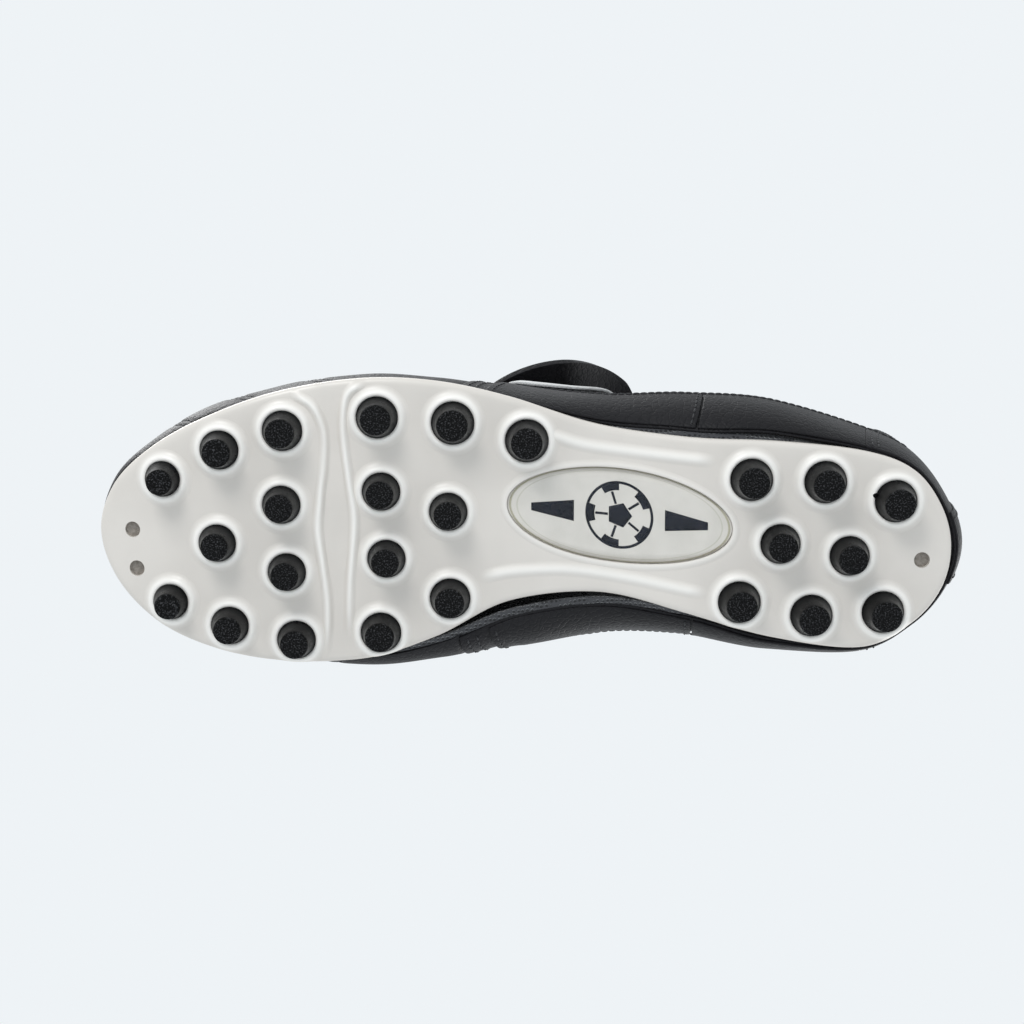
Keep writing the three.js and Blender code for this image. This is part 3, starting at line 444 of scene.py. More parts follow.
def swept(u, v, section, narrower=0.0):
    """A section's corners along the sole, from heel to toe: their x and y, and height over the underside."""
    t = station_at(SOLE_LENGTH * (1 - np.cos(np.pi * u)) / 2)
    share, inset, height = section[np.rint(v * (len(section) - 1)).astype(int)].T
    lateral, medial = outline(t, 1, -inset - narrower), outline(t, -1, -inset - narrower)
    x, y = (lateral[k] + (medial[k] - lateral[k]) * share for k in (0, 1))
    return x, y, height


def plate(u, v):
    x, y, height = swept(u, v, SECTION)
    channel = flex_channel(x, y) * (height < EDGE_RISE)
    return np.column_stack([x, y, plate_bottom(x) + height + channel])


def oval_slab(name, grow, low, high):
    """A slab over the oval, following the arch between two heights over the plate's underside."""
    long, wide = OVAL["length"] + grow, OVAL["width"] + grow

    def place(u, v):
        along = -np.cos(np.pi * u)
        x = OVAL["x"] + long * along
        middle = OVAL["y"] + OVAL["slope"] * long * along
        corner = np.rint(v * 20).astype(int) % 20
        across = np.interp(corner, [0, 1, 10, 11, 20], [1, 1, -1, -1, 1])
        level = np.interp(corner, [0, 1, 10, 11, 20], [low, high, high, low, low])
        return np.column_stack([x, middle + wide * across * np.sqrt(1 - along**2), plate_bottom(x) + level])

    return surface(name, 56, 20, place)


STUDS = {
    "stud_forefoot": [
        (267.4, 14.9, 6.1), (247.6, 25.2, 6.6), (226.3, 31.8, 6.8), (194.5, 36.3, 7.1), (227.0, 6.7, 6.5),
        (193.3, 11.2, 6.5), (248.9, -6.6, 6.4), (225.5, -16.4, 6.5), (191.7, -11.8, 6.5), (265.6, -27.4, 6.1),
        (245.2, -35.0, 6.5), (222.6, -39.8, 6.6), (193.8, -37.3, 6.9), (169.1, 34.4, 7.3), (144.3, 28.4, 7.3),
        (170.7, 4.3, 6.5), (170.2, -25.5, 6.9),
    ],
    "stud_heel": [
        (68.5, 15.2, 7.2), (43.6, 14.4, 7.2), (19.7, 7.9, 7.2), (58.4, -6.7, 6.8), (34.9, -10.8, 6.8),
        (71.9, -26.8, 7.2), (47.4, -31.4, 7.2), (23.1, -30.2, 7.2),
    ],
}
STUD_GROWTH = 1.03
COLLAR_REACH = [-0.6, -0.2, 0.2, 0.7, 1.2, 1.6, 2.1, 2.6, 3.3, 4.1]
COLLAR_HEIGHT = [0.4, 1.45, 1.75, 1.8, 1.6, 1.25, 0.75, 0.35, 0.09, -0.06]


def collar(x0, y0, radius):
    """Soft ring round a stud, flared out into the plate."""

    def place(u, v):
        out = radius + np.interp(v * 9, range(10), COLLAR_REACH)
        height = np.interp(v * 9, range(10), COLLAR_HEIGHT)
        turn = 2 * np.pi * u
        return on_underside(x0 + out * np.cos(turn), y0 + out * np.sin(turn), height)

    return surface("collar", 48, 9, place, closed=False)


def ridge(points, width, height, taper=0.0):
    """Soft raised line across the underside; taper is how much of its length runs out at each end."""
    line = smooth_line(points, 90)

    def place(u, v):
        i = np.rint(u * 89).astype(int)
        ahead = line[np.minimum(i + 1, 89)] - line[np.maximum(i - 1, 0)]
        normal = np.column_stack([-ahead[:, 1], ahead[:, 0]]) / np.hypot(*ahead.T)[:, None]
        x, y = (line[i] + normal * (width * (2 * v - 1))[:, None]).T
        ends = 1 if taper == 0 else eased(np.minimum(u, 1 - u), 0, taper)
        return on_underside(x, y, height * ends * np.cos(np.pi * (v - 0.5)) ** 2 - 0.03)

    return surface("ridge", 89, 12, place, closed=False)


GROOVE_LINES = [
    [
        (224, 44.6), (216.3, 40), (212.6, 32), (212.6, 20), (214, 9), (215, -2), (213.4, -14), (211.8, -28),
        (212.4, -46),
    ],
    [
        (197.8, 48), (204.2, 44), (206.2, 35), (205.6, 25), (204, 14), (202.5, 3), (203, -8), (204.5, -22),
        (205, -46),
    ],
]
ARCH_LINES = [
    [(138, 31.2), (134.2, 29.7), (124.1, 26.6), (108.6, 24.2), (93.2, 22.4), (79.2, 21.2)],
    [
        (161.3, -19), (150.4, -16.4), (135.6, -15.6), (123.9, -16.6), (108.3, -19.4), (92.6, -22.6),
        (81.6, -24.5),
    ],
]


def oval_rim(u, v):
    """Thin lip round the window."""
    turn = 2 * np.pi * u
    grow = np.interp(v * 6, range(7), [-0.1, 0.0, 0.35, 0.8, 1.3, 1.9, 2.6])
    height = np.interp(v * 6, range(7), [-0.6, 0.25, 0.45, 0.48, 0.4, 0.15, -0.04])
    x = OVAL["x"] + (OVAL["length"] + grow) * np.cos(turn)
    y = OVAL["y"] + OVAL["slope"] * (x - OVAL["x"]) + (OVAL["width"] + grow) * np.sin(turn)
    return on_underside(x, y, height)


outsole = surface("outsole", 190, len(SECTION) - 1, plate)
VENTS = [(279.0, -3.2), (277.8, -16.6), (10.1, -12.5)]
VENT_DEPTH = 2.0
VENT_RADIUS = 2.7
DRILL = {"vertices": 40, "radius": VENT_RADIUS / 1000, "depth": 0.014}
for x, y in VENTS:
    spot = in_frame(np.array((x, y, level_at(x) + VENT_DEPTH - 7)))
    cutter = added(bpy.ops.mesh.primitive_cylinder_add, "cutter", location=spot, **DRILL)
    modified(outsole, "BOOLEAN", object=cutter, operation="DIFFERENCE", solver="EXACT")
    bpy.data.objects.remove(cutter)
cutter = oval_slab("cutter", 0.0, -3, 1.7)
modified(outsole, "BOOLEAN", object=cutter, operation="DIFFERENCE", solver="EXACT")
bpy.data.objects.remove(cutter)

relief = [collar(x, y, radius * STUD_GROWTH) for group in STUDS.values() for x, y, radius in group]
relief += [ridge(line, 2.3, 1.25, taper=0.09) for line in GROOVE_LINES]
relief += [ridge(line, 2.9, 1.0, taper=0.12) for line in ARCH_LINES]
relief += [surface("rim", 120, 6, oval_rim, closed=False)]
for part in relief:
    facing(part, -1)
joined("outsole", [outsole, *relief])
smooth_edges(outsole, 40)
# How far each corner stands below the plate, 1 at a collar's crest: the raised collars, ridges and oval rim
# get a painted highlight, a lighter colour where they stand out.
HIGHLIGHT_FULL_HEIGHT = 1.2
corners = np.array([corner.co for corner in outsole.data.vertices]) * 1000 - np.array(SHIFT)
painted_highlight = np.clip((plate_bottom(corners[:, 0]) - corners[:, 2]) / HIGHLIGHT_FULL_HEIGHT, 0, 1)
proud = outsole.data.attributes.new("proud", "FLOAT", "POINT")
proud.data.foreach_set("value", painted_highlight.astype(np.float32))

white = Finish("white_tpu", (0.58, 0.54, 0.495), 0.34, Specular_IOR_Level=0.5)
cloud = white.noise(34, 3)
haze = white.ramp(cloud, 0.35, 0.7)
# Painted highlight: the "proud" share mixes raised relief towards a near-white colour.
raised = white.node("Attribute", {"attribute_name": "proud"}, output="Fac")
level = white.mix(haze, (0.715, 0.668, 0.61), (0.67, 0.625, 0.57))
white.tones(raised, level, (0.90, 0.865, 0.81))
scuff = white.ramp(white.noise(900, 5, 0.7), 0.56, 0.72)
white.set("Roughness", 0.3 + 0.08 * haze + 0.16 * scuff)
flow = white.noise(160, 2) * 0.6 + white.noise(1500, 3) * 0.4
white.relief(flow, 0.00008, 0.5)
outsole.data.materials.clear()
outsole.data.materials.append(white.material)
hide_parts("outsole_forefoot", "outsole_rearfoot")


def flexing(piece, back=200, front=218):
    """Bakes a finished piece's placement into its mesh, without bending it at the flex channel."""
    start, end = in_frame(np.array([(back, 0, 14), (front, 0, 14)]))
    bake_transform(piece)


flexing(outsole)

# ---- Studs ---------------------------------------------------------------------------------------
# Twenty-five black rubber studs moulded into the plate: a flat grained tip with a rounded edge, and a
# smooth side that swells a little before it meets its collar.

STUD_RADIUS = 6.6
TIP_BAND = 0.6
STUD_RINGS = [
    (3.95, 0.0), (4.25, 0.06), (4.5, 0.25), (4.62, 0.6), (4.72, 1.3), (4.95, 3.0), (5.3, 5.2), (5.75, 7.4),
    (6.15, 8.6), (6.5, 9.3), (6.6, 9.8), (6.6, 11.4),
]


def turned(name, rings, sides):
    """A round piece drawn up ring by ring from its flat tip: radius and height, in millimetres."""
    tip = {"vertices": sides, "radius": rings[0][0] / 1000, "fill_type": "NGON"}
    piece = added(bpy.ops.mesh.primitive_circle_add, name, **tip)
    bpy.ops.object.mode_set(mode="EDIT")
    bpy.ops.mesh.select_all(action="SELECT")
    for (radius, height), (wider, higher) in zip(rings, rings[1:]):
        bpy.ops.mesh.extrude_region_move(TRANSFORM_OT_translate={"value": (0, 0, (higher - height) / 1000)})
        bpy.ops.transform.resize(value=(wider / radius, wider / radius, 1))
    bpy.ops.mesh.select_all(action="DESELECT")
    bpy.ops.mesh.select_non_manifold()
    bpy.ops.mesh.edge_face_add()
    bpy.ops.mesh.inset(thickness=0.0012)
    bpy.ops.mesh.inset(thickness=0.0012)
    bpy.ops.mesh.select_all(action="SELECT")
    bpy.ops.mesh.normals_make_consistent(inside=False)
    bpy.ops.object.mode_set(mode="OBJECT")
    return smooth_edges(piece, 50)


side_rubber = Finish("stud_side", (0.004, 0.004, 0.005), 0.4, Specular_IOR_Level=0.06)
streak = side_rubber.noise(260, 4, 0.6)
side_rubber.tones(side_rubber.ramp(streak, 0.4, 0.75), (0.003, 0.003, 0.0035), (0.009, 0.0088, 0.0088))
side_rubber.set("Roughness", side_rubber.ramp(streak, 0.3, 0.75, 0.24, 0.46))
side_rubber.relief(side_rubber.noise(1100, 3), 0.00006, 0.6)

tip_rubber = Finish("stud_tip", (0.005, 0.005, 0.005), 0.55, Specular_IOR_Level=0.07)
pits = tip_rubber.cells(1500)
grit = tip_rubber.noise(1900, 2, 0.6)
tip_rubber.tones(tip_rubber.ramp(grit, 0.5, 0.7), (0.0035, 0.0035, 0.0035), (0.06, 0.06, 0.062))
tip_rubber.set("Roughness", tip_rubber.ramp(grit, 0.35, 0.7, 0.38, 0.7))
tip_rubber.relief(pits * 0.7 + grit * 0.5, 0.0005, 1.0)

pattern = turned("stud", STUD_RINGS, 40)
pattern.data.materials.append(side_rubber.material)
pattern.data.materials.append(tip_rubber.material)
for face in pattern.data.polygons:
    face.material_index = int(face.center.z < TIP_BAND / 1000)


def stud(name, x, y, radius):
    piece = pattern.copy()
    piece.data = pattern.data.copy()
    piece.name = piece.data.name = name + "_rubber"
    bpy.context.scene.collection.objects.link(piece)
    spot = Vector(in_frame(np.array((x, y, level_at(x)))))
    grow = radius * STUD_GROWTH / STUD_RADIUS
    piece.data.transform(
        Matrix.Translation(spot)
        @ Matrix.Translation((0, 0, -STUD_HEIGHT / 1000))
        @ Matrix.Diagonal((grow, grow, 1, 1))
    )
    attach(piece, "forefoot" if x > HINGE_X else "rearfoot")
    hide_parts(name)


for group, places in STUDS.items():
    for number, (x, y, radius) in enumerate(places, 1):
        stud(f"{group}_{number:02d}", x, y, radius)
bpy.data.objects.remove(pattern)

# A nub left by the mould, beside the third heel stud.
NUB = in_frame(np.array((26.9, 9.9, STUD_HEIGHT - 0.6)))
NUB_RADIUS = 1.4
drop = {"segments": 20, "ring_count": 12, "radius": NUB_RADIUS / 1000, "location": NUB}
nub = added(bpy.ops.mesh.primitive_uv_sphere_add, "moulding_nub", **drop)
bpy.ops.object.transform_apply(location=True, rotation=True, scale=True)
bpy.ops.object.shade_smooth()
nub.data.materials.append(side_rubber.material)
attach(nub, "rearfoot")

# ---- Oval window ---------------------------------------------------------------------------------
# A clear cast lens over a printed card, cemented into the oval recess. The print is a plain ball
# between two plain bars.

lens = oval_slab("window_lens", -0.25, 0.05, 0.75)
rounded(lens, 0.2, degrees=50)
smooth_edges(lens, 40)
clear = Finish("window_clear", (0.30, 0.30, 0.26), 0.08, Alpha=0.02, Specular_IOR_Level=0.5)
clear.set("Roughness", clear.ramp(clear.noise(240, 4), 0.4, 0.75, 0.05, 0.2))
clear.material.surface_render_method = "BLENDED"
lens.data.materials.append(clear.material)
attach(lens, "rearfoot")
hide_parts("oval_window")

card = oval_slab("window_card", -0.2, 1.0, 1.4)
board_print = Finish("printed_card", (0.62, 0.59, 0.54), 0.4, Coat_Weight=0.15, Coat_Roughness=0.1)
centre = Vector(in_frame(np.array((OVAL["x"], OVAL["y"], 0.0))))
from_centre = {"Vector": board_print.place(), "Location": tuple(-centre)}
spot = board_print.node("Mapping", {"vector_type": "POINT"}, from_centre)
apart = board_print.node("SeparateXYZ", {}, {0: spot}, "X")
aside = board_print.node("SeparateXYZ", {}, {0: spot}, "Y")
long_share = apart * (1000 / OVAL["length"])
wide_share = (aside - apart * OVAL["slope"]) * (1000 / OVAL["width"])
ring = (long_share * long_share + wide_share * wide_share) ** 0.5
line = board_print.ramp(ring, 0.955, 0.968) * (1 - board_print.ramp(ring, 0.975, 0.985))
inner = board_print.ramp(ring, 0.90, 0.905) * (1 - board_print.ramp(ring, 0.912, 0.918))
mottle = board_print.ramp(board_print.noise(120, 3), 0.3, 0.75)
field = board_print.mix(mottle, (0.72, 0.68, 0.62), (0.66, 0.625, 0.565))
outer = board_print.mix(line, field, (0.42, 0.39, 0.28))
board_print.set("Base Color", board_print.mix(inner * 0.6, outer, (0.50, 0.48, 0.38)))
card.data.materials.append(board_print.material)
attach(card, "rearfoot")
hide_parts("badge_insert")

BALL = 11.6
INK = 0.93
FIFTH = 2 * math.pi / 5


def inked(x, y):
    """Artwork in the oval's own axes, laid on the card."""
    along = OVAL["x"] + x
    return np.column_stack([along, OVAL["y"] + OVAL["slope"] * x + y, plate_bottom(along) + INK])


def disc_sector(name, turn, spread, inner_radius, outer_radius):
    """Flat patch of the print between two radii."""

    def place(u, v):
        angle = turn + spread * (2 * u - 1)
        reach = inner_radius(angle) * (1 - v) + outer_radius(angle) * v
        return inked(reach * np.cos(angle), reach * np.sin(angle))

    return surface(name, 60, 3, place, closed=False)


def pentagon(size):
    half = math.pi / 5
    return lambda angle: size * math.cos(half) / np.cos((angle + half) % FIFTH - half)


def always(size):
    return lambda angle: size + 0 * angle


def bar(x0, x1, y0, y1):
    """Plain bar, tapered to its outer end."""

    def place(u, v):
        half = y0 + (y1 - y0) * u
        return inked(x0 + (x1 - x0) * u, half * (2 * v - 1))

    return surface("bar", 24, 3, place, closed=False)


def spoke(turn):
    """Thin line of the ball from its middle patch to an outer one."""
    sine, cosine = math.sin(turn), math.cos(turn)

    def place(u, v):
        reach = 3.9 + (BALL - 4.6 - 3.9 + 1.2) * u
        side = 0.42 * (2 * v - 1)
        return inked(reach * cosine - side * sine, reach * sine + side * cosine)

    return surface("spoke", 10, 2, place, closed=False)


art = [disc_sector("ball_edge", 0, math.pi, always(BALL - 0.9), always(BALL))]
art += [disc_sector("ball_patch", 0, math.pi, always(0.01), pentagon(4.4))]
for k in range(5):
    turn = FIFTH * k
    art.append(spoke(turn))
    art.append(disc_sector("edge_patch", turn, 0.30, always(BALL - 3.1), always(BALL - 0.7)))
art += [bar(15.5, 30, 3.6, 1.3), bar(-15.5, -30, 3.6, 1.3)]
for part in art:
    facing(part, -1)
artwork = joined("window_print", art)
modified(artwork, "SOLIDIFY", thickness=0.00006, offset=-1)
ink = Finish("navy_ink", (0.008, 0.010, 0.018), 0.4, Specular_IOR_Level=0.2)
ink.set("Roughness", ink.ramp(ink.noise(500, 3), 0.35, 0.7, 0.26, 0.4))
ink.tones(ink.ramp(ink.noise(150, 2), 0.3, 0.7), (0.006, 0.008, 0.015), (0.012, 0.014, 0.024))
artwork.data.materials.append(ink.material)
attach(artwork, "rearfoot")

# ---- Inside the sole -----------------------------------------------------------------------------
# The lasting board, the steel shank and the heel cushion are closed in by the rest. Only the board shows,
# at the bottom of the moulding holes.


def dress(finish, *nodes):
    for name in nodes:
        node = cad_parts[name]
        node.data.materials.clear()
        node.data.materials.append(finish.material)


# Grey-brown board, its colours darkened so the moulding holes look shaded: part the board's own colour, part
# painted shade.
fibre = Finish("fibre_board", (0.26, 0.235, 0.205), 0.85)
strands = fibre.noise(700, 6, 0.75)
fibre.tones(fibre.ramp(strands, 0.35, 0.65), (0.20, 0.18, 0.155), (0.34, 0.305, 0.27))
fibre.relief(strands, 0.0002, 0.8)
dress(fibre, "lasting_board_forefoot", "lasting_board_rearfoot")

steel = Finish("brushed_steel", (0.5, 0.5, 0.52), 0.35, Metallic=1.0)
grain = steel.node("Mapping", {}, {"Vector": steel.place(), "Scale": (60, 2500, 2500)})
steel.set("Roughness", steel.ramp(steel.noise(1, 3, 0.5, grain), 0.3, 0.7, 0.28, 0.48))
dress(steel, "shank")

foam = Finish("open_foam", (0.06, 0.075, 0.09), 0.95)
pores = foam.cells(900)
foam.tones(foam.ramp(pores, 0.1, 0.6), (0.02, 0.025, 0.03), (0.08, 0.10, 0.12))
foam.relief(pores, 0.0004, 0.8)
dress(foam, "heel_cushion")

# Board patches at the bottom of the moulding holes, in the darkened fibre finish: part painted shade.
for number, (x, y) in enumerate(VENTS, 1):
    spot = in_frame(np.array((x, y, level_at(x) + VENT_DEPTH - 0.03)))
    disc = {"vertices": 40, "radius": 0.0028, "fill_type": "NGON", "location": spot}
    patch = added(bpy.ops.mesh.primitive_circle_add, f"board_in_hole_{number}", **disc)
    bpy.ops.object.transform_apply(location=True, rotation=True, scale=True)
    patch.data.flip_normals()
    patch.data.materials.append(fibre.material)
    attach(patch, "forefoot" if x > HINGE_X else "rearfoot")

stiff = Finish("stiffener_felt", (0.10, 0.10, 0.10), 0.9)
felt = stiff.noise(1200, 5, 0.7)
stiff.tones(stiff.ramp(felt, 0.35, 0.65), (0.06, 0.06, 0.06), (0.15, 0.145, 0.14))
stiff.relief(felt, 0.0002, 0.7)

# ---- Sockliner -----------------------------------------------------------------------------------
# A foam footbed covered in black knit, cemented over the board. Its edge turns up a little, and it dips
# where the heel rests.

LINER_LOW = 5.9
LINER_HIGH = 10.0
LINER_INSET = 8.0
LINER_SECTION = [(0, 0, LINER_LOW), (0, 0, LINER_HIGH - 0.9)]
LINER_SECTION += [(0, 0.3, LINER_HIGH - 0.3), (0, 1.0, LINER_HIGH)]
LINER_SECTION += [(k / 24, 1.0, LINER_HIGH - 0.55 * math.sin(math.pi * k / 24)) for k in range(1, 24)]
LINER_SECTION += [(1, inset, height) for _, inset, height in reversed(LINER_SECTION[:4])]
LINER_SECTION += [(k / 6, 0, LINER_LOW) for k in range(5, -1, -1)]
LINER_SECTION = np.array(LINER_SECTION)


def footbed(u, v):
    x, y, height = swept(u, v, LINER_SECTION, LINER_INSET)
    return np.column_stack([x, y, plate_bottom(x) + height])


sockliner = surface("sockliner", 120, len(LINER_SECTION) - 1, footbed)
smooth_edges(sockliner, 50)
knit = Finish("sockliner_knit", (0.02, 0.02, 0.022), 0.92, Sheen_Weight=0.3)
turned_weave = knit.node("Mapping", {}, {"Vector": knit.place(), "Rotation": (0, 0, math.radians(45))})
ribs = {"Vector": turned_weave, "Scale": 300, "Distortion": 0.4}
weave = knit.node("TexWave", {}, ribs) * knit.node("TexWave", {"bands_direction": "Y"}, ribs)
knit.tones(weave, (0.010, 0.010, 0.011), (0.038, 0.038, 0.042))
knit.relief(weave, 0.0003, 0.9)
sockliner.data.materials.append(knit.material)
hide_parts("sockliner_forefoot", "sockliner_rearfoot")
flexing(sockliner, 195, 223)

# ---- Lining --------------------------------------------------------------------------------------
# Black knitted lining, one bag from the feather line up to the collar and round the lacing opening.

FEATHER_INSET = 6.5
UNDERLAP = 2.0
COLLAR_DEPTH = 4.0
LINING = 1.2
PANEL = 1.4
OVERLAY = 1.0
TOPLINE = [(-30, 90), (-8, 88), (10, 83), (30, 73.5), (52, 68), (74, 73), (92, 85), (106, 93)]
COLLAR_END = 106
THROAT_BACK, THROAT_FRONT = 84, 174
THROAT_HALF_BACK, THROAT_HALF_FRONT = 18.5, 12.5
THROAT_CENTRE = THROAT_FRONT - THROAT_HALF_FRONT


def form(t, angle, offset):
    """Points on the foot form moved out by an offset: -90 degrees is the lateral feather line, 90 the
    ridge and 270 the medial feather line."""
    t, angle, offset = np.broadcast_arrays(*(np.asarray(given, float) for given in (t, angle, offset)))
    value = last(t)[0]
    side = np.where(angle <= 90, 1.0, -1.0)
    cos, sin = np.abs(np.cos(np.radians(angle))), np.sin(np.radians(angle))
    over = np.where(side > 0, value[:, 3], value[:, 4])
    edge = np.column_stack(outline(t, side, over + offset))
    foot = np.column_stack(outline(t, side, offset - FEATHER_INSET))
    plate_top = plate_bottom(value[:, 0]) + PLATE
    middle = plate_top + value[:, 5]
    power = 2 / value[:, 9]
    top = np.column_stack([value[:, 6] + offset * np.maximum(0, t - TOE + 1) ** 2, value[:, 7]])
    under = sin < 0
    low = foot + (edge - foot) * cos[:, None]
    high = top + (edge - top) * (np.maximum(cos, 1e-9) ** power)[:, None]
    rise = (value[:, 8] + offset - middle) * np.maximum(sin, 0) ** power
    fall = (middle - plate_top + UNDERLAP) * sin
    return np.column_stack([np.where(under[:, None], low, high), middle + np.where(under, fall, rise)])


topline_points = smooth_line(TOPLINE, 400)


def topline(x):
    return np.interp(x, *topline_points.T)


def throat_middle(x):
    return np.interp(x, [THROAT_BACK, THROAT_FRONT], [-2, -6])


def throat_half(x):
    return np.interp(x, [THROAT_BACK, THROAT_CENTRE], [THROAT_HALF_BACK, THROAT_HALF_FRONT])


def opened(points, grow=0.0):
    """True over the ankle opening and the lacing opening."""
    x, y, z = points.T
    aside = np.abs(y - throat_middle(x))
    ankle = (x < COLLAR_END) & (z > topline(x) - grow)
    straight = (x > THROAT_BACK) & (x <= THROAT_CENTRE) & (aside < throat_half(x) + grow)
    round_front = (x > THROAT_CENTRE) & (np.hypot(x - THROAT_CENTRE, aside) < THROAT_HALF_FRONT + grow)
    return ankle | straight | round_front


def feather_angle(t):
    """Angle at which the form meets the top of the plate."""
    waist = last(t)[0][:, 5]
    return -np.degrees(np.arcsin((waist + 0.25) / (waist + UNDERLAP)))


def turned_to(angle, side):
    return angle if side > 0 else 180 - angle


def first_angle(t, side, offset, outside):
    """Where the form first goes outside a region, on its way up from the feather line."""
    low, high = feather_angle(t), np.full(len(t), 90.0)
    for _ in range(22):
        middle = (low + high) / 2
        gone = outside(form(t, turned_to(middle, side), offset))
        low, high = np.where(gone, low, middle), np.where(gone, middle, high)
    return low


def first_station(angle, side, offset, inside, low, high):
    """Where the form first comes inside a region, on its way from one station to a later one."""
    low, high = np.full(len(angle), float(low)), np.full(len(angle), float(high))
    for _ in range(22):
        middle = (low + high) / 2
        found = inside(form(middle, turned_to(angle, side), offset))
        low, high = np.where(found, low, middle), np.where(found, middle, high)
    return high


SIDES = {1: "lateral", -1: "medial"}


def edge_angles(offset, outside, final, count):
    """For each side, the angle at which the form leaves a region, looked up by station."""
    return {
        side: tabled(lambda t, s=side: first_angle(t, s, offset, outside), 0, final, count) for side in SIDES
    }


def edge_stations(offset, inside, stations, top, count):
    """For each side, the station at which the form comes inside a region, looked up by angle."""
    return {
        side: tabled(lambda a, s=side: first_station(a, s, offset, inside, *stations), -75, top, count)
        for side in SIDES
    }


top_angle = {}
for drop in (0, 4, 8):
    for side, angles in edge_angles(1.5, lambda p, d=drop: opened(p, d), TOE, 700).items():
        top_angle[side, drop] = angles


def stiffened(t):
    return np.maximum(1 - eased(t, 4, 5), eased(t, 10, 11))


def collar_fill(points):
    x, _, z = points.T
    top = topline(x)
    return eased(z, top - 26, top - 14) * (1 - eased(x, 72, 96))


def undulation(points, size):
    """Slow, slight unevenness of soft leather."""
    x, y, z = points.T
    waves = np.sin(x * 0.21 + 1.3 * np.sin(z * 0.17)) + np.sin(z * 0.33 + y * 0.12)
    return size * (waves + np.sin(x * 0.09 - y * 0.27)) / 3


def panel_outer(t):
    return LINING + 0.3 + 1.6 * stiffened(t) + PANEL


def outwards(piece):
    """Turns an open shell's faces away from the middle of the foot."""
    balance = 0.0
    for face in piece.data.polygons:
        core = Vector((face.center.x * 0.92, -0.004, 0.04))
        balance += face.normal.dot(face.center - core) * face.area
    if balance < 0:
        piece.data.flip_normals()
    return piece


def welded(piece, apart):
    """Merges the corners where two halves meet, and turns the faces outwards."""
    only(piece)
    bpy.ops.object.mode_set(mode="EDIT")
    bpy.ops.mesh.select_all(action="SELECT")
    bpy.ops.mesh.remove_doubles(threshold=apart)
    bpy.ops.mesh.normals_make_consistent(inside=False)
    bpy.ops.object.mode_set(mode="OBJECT")
    return outwards(piece)


def capped(piece):
    """Closes the open ends of a tube and turns its faces outwards."""
    only(piece)
    bpy.ops.object.mode_set(mode="EDIT")
    bpy.ops.mesh.select_all(action="DESELECT")
    bpy.ops.mesh.select_non_manifold()
    bpy.ops.mesh.edge_face_add()
    bpy.ops.mesh.select_all(action="SELECT")
    bpy.ops.mesh.normals_make_consistent(inside=False)
    bpy.ops.object.mode_set(mode="OBJECT")
    return smooth_edges(piece, 60)


def half_lining(side):
    def place(u, v):
        t = TOE * u
        low, high = feather_angle(t), top_angle[side, 4](t)
        angle = turned_to(low + (high - low) * v, side)
        return form(t, angle, 0.1 - COLLAR_DEPTH * 0.8 * collar_fill(form(t, angle, 0)))

    return surface("lining", 110, 40, place, closed=False)


lining = welded(joined("lining", [half_lining(side) for side in SIDES]), 0.00005)
modified(lining, "SOLIDIFY", thickness=0.001, offset=1)
smooth_edges(lining, 50)
spacer = Finish("lining_mesh", (0.018, 0.018, 0.02), 0.9, Sheen_Weight=0.4, Sheen_Roughness=0.5)
eyelet_cells = spacer.cells(620, randomness=0.25)
holes = spacer.ramp(eyelet_cells, 0.25, 0.5)
spacer.tones(holes, (0.006, 0.006, 0.007), (0.040, 0.040, 0.044))
spacer.relief(holes, 0.0005, 0.9)
lining.data.materials.append(spacer.material)
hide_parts("lining_forefoot", "lining_crease", "lining_rearfoot")
UPPER_BEND = (188, 230)
flexing(lining, *UPPER_BEND)

# ---- Stiffeners ----------------------------------------------------------------------------------
# Felted board between lining and leather: a counter round the heel and a puff over the toes.


def stiffener(node, first, final, top):
    """Shell of the foot form between two stations, up to a top angle, on both sides."""
    halves = []
    for side in SIDES:
        def place(u, v, side=side):
            t = first + (final - first) * u
            low = feather_angle(t) + 2
            return form(t, turned_to(low + (top(t, side) - low) * v, side), 1.7)

        halves.append(surface(node, 40, 24, place, closed=False))
    shell = outwards(joined(node + "_felt", halves))
    modified(shell, "WELD", merge_threshold=0.00005)
    modified(shell, "SOLIDIFY", thickness=0.0008, offset=1)
    shell.data.materials.append(stiff.material)
    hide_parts(node)
    return shell


def counter_top(t, side):
    return np.minimum(top_angle[side, 8](t) - 22, 26)


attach(stiffener("heel_counter", 0, 3.8, counter_top), "rearfoot")
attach(stiffener("toe_puff", 12.4, TOE, lambda t, side: np.full(len(t), 90.0)), "forefoot")

# ---- Vamp ----------------------------------------------------------------------------------------
# Soft black leather over the toes, lasted under the board. Three pairs of quilting lines are sewn across
# it, and it swells softly between them. Its back edge runs under the quarters.

SEAM = [(170, -10), (167, 15), (160, 42), (164, 60), (177, 78), (182, 110)]
seam_points = smooth_line(SEAM, 300)


def seam_x(z):
    return np.interp(z, seam_points[:, 1], seam_points[:, 0])


def ahead_of_back(points):
    return (points[:, 0] > seam_x(points[:, 2]) - 3) & ~opened(points, -0.5)


vamp_back = edge_stations(2.9, ahead_of_back, (5.5, 11), 90, 500)
QUILTING = [9.0, 10.0, 11.0]
QUILT_GAP = 0.14
QUILT_DEPTH, QUILT_SPREAD = 0.55, 0.045


def quilt_station(number, angle):
    """Station of a quilting line, which runs further back at the sides than over the top."""
    return QUILTING[number] + 0.25 + 0.75 * np.sin(np.radians(np.clip(angle, -60, 90) + 60) * 0.6) ** 2


def quilt_relief(t, angle):
    """Depth of the leather at the sewn lines, which lie in soft troughs."""
    depth = 0.0
    for number in range(len(QUILTING)):
        for step in (0, QUILT_GAP):
            away = (t - quilt_station(number, angle) - step) / QUILT_SPREAD
            depth = depth + QUILT_DEPTH * np.exp(-(away**2))
    return depth


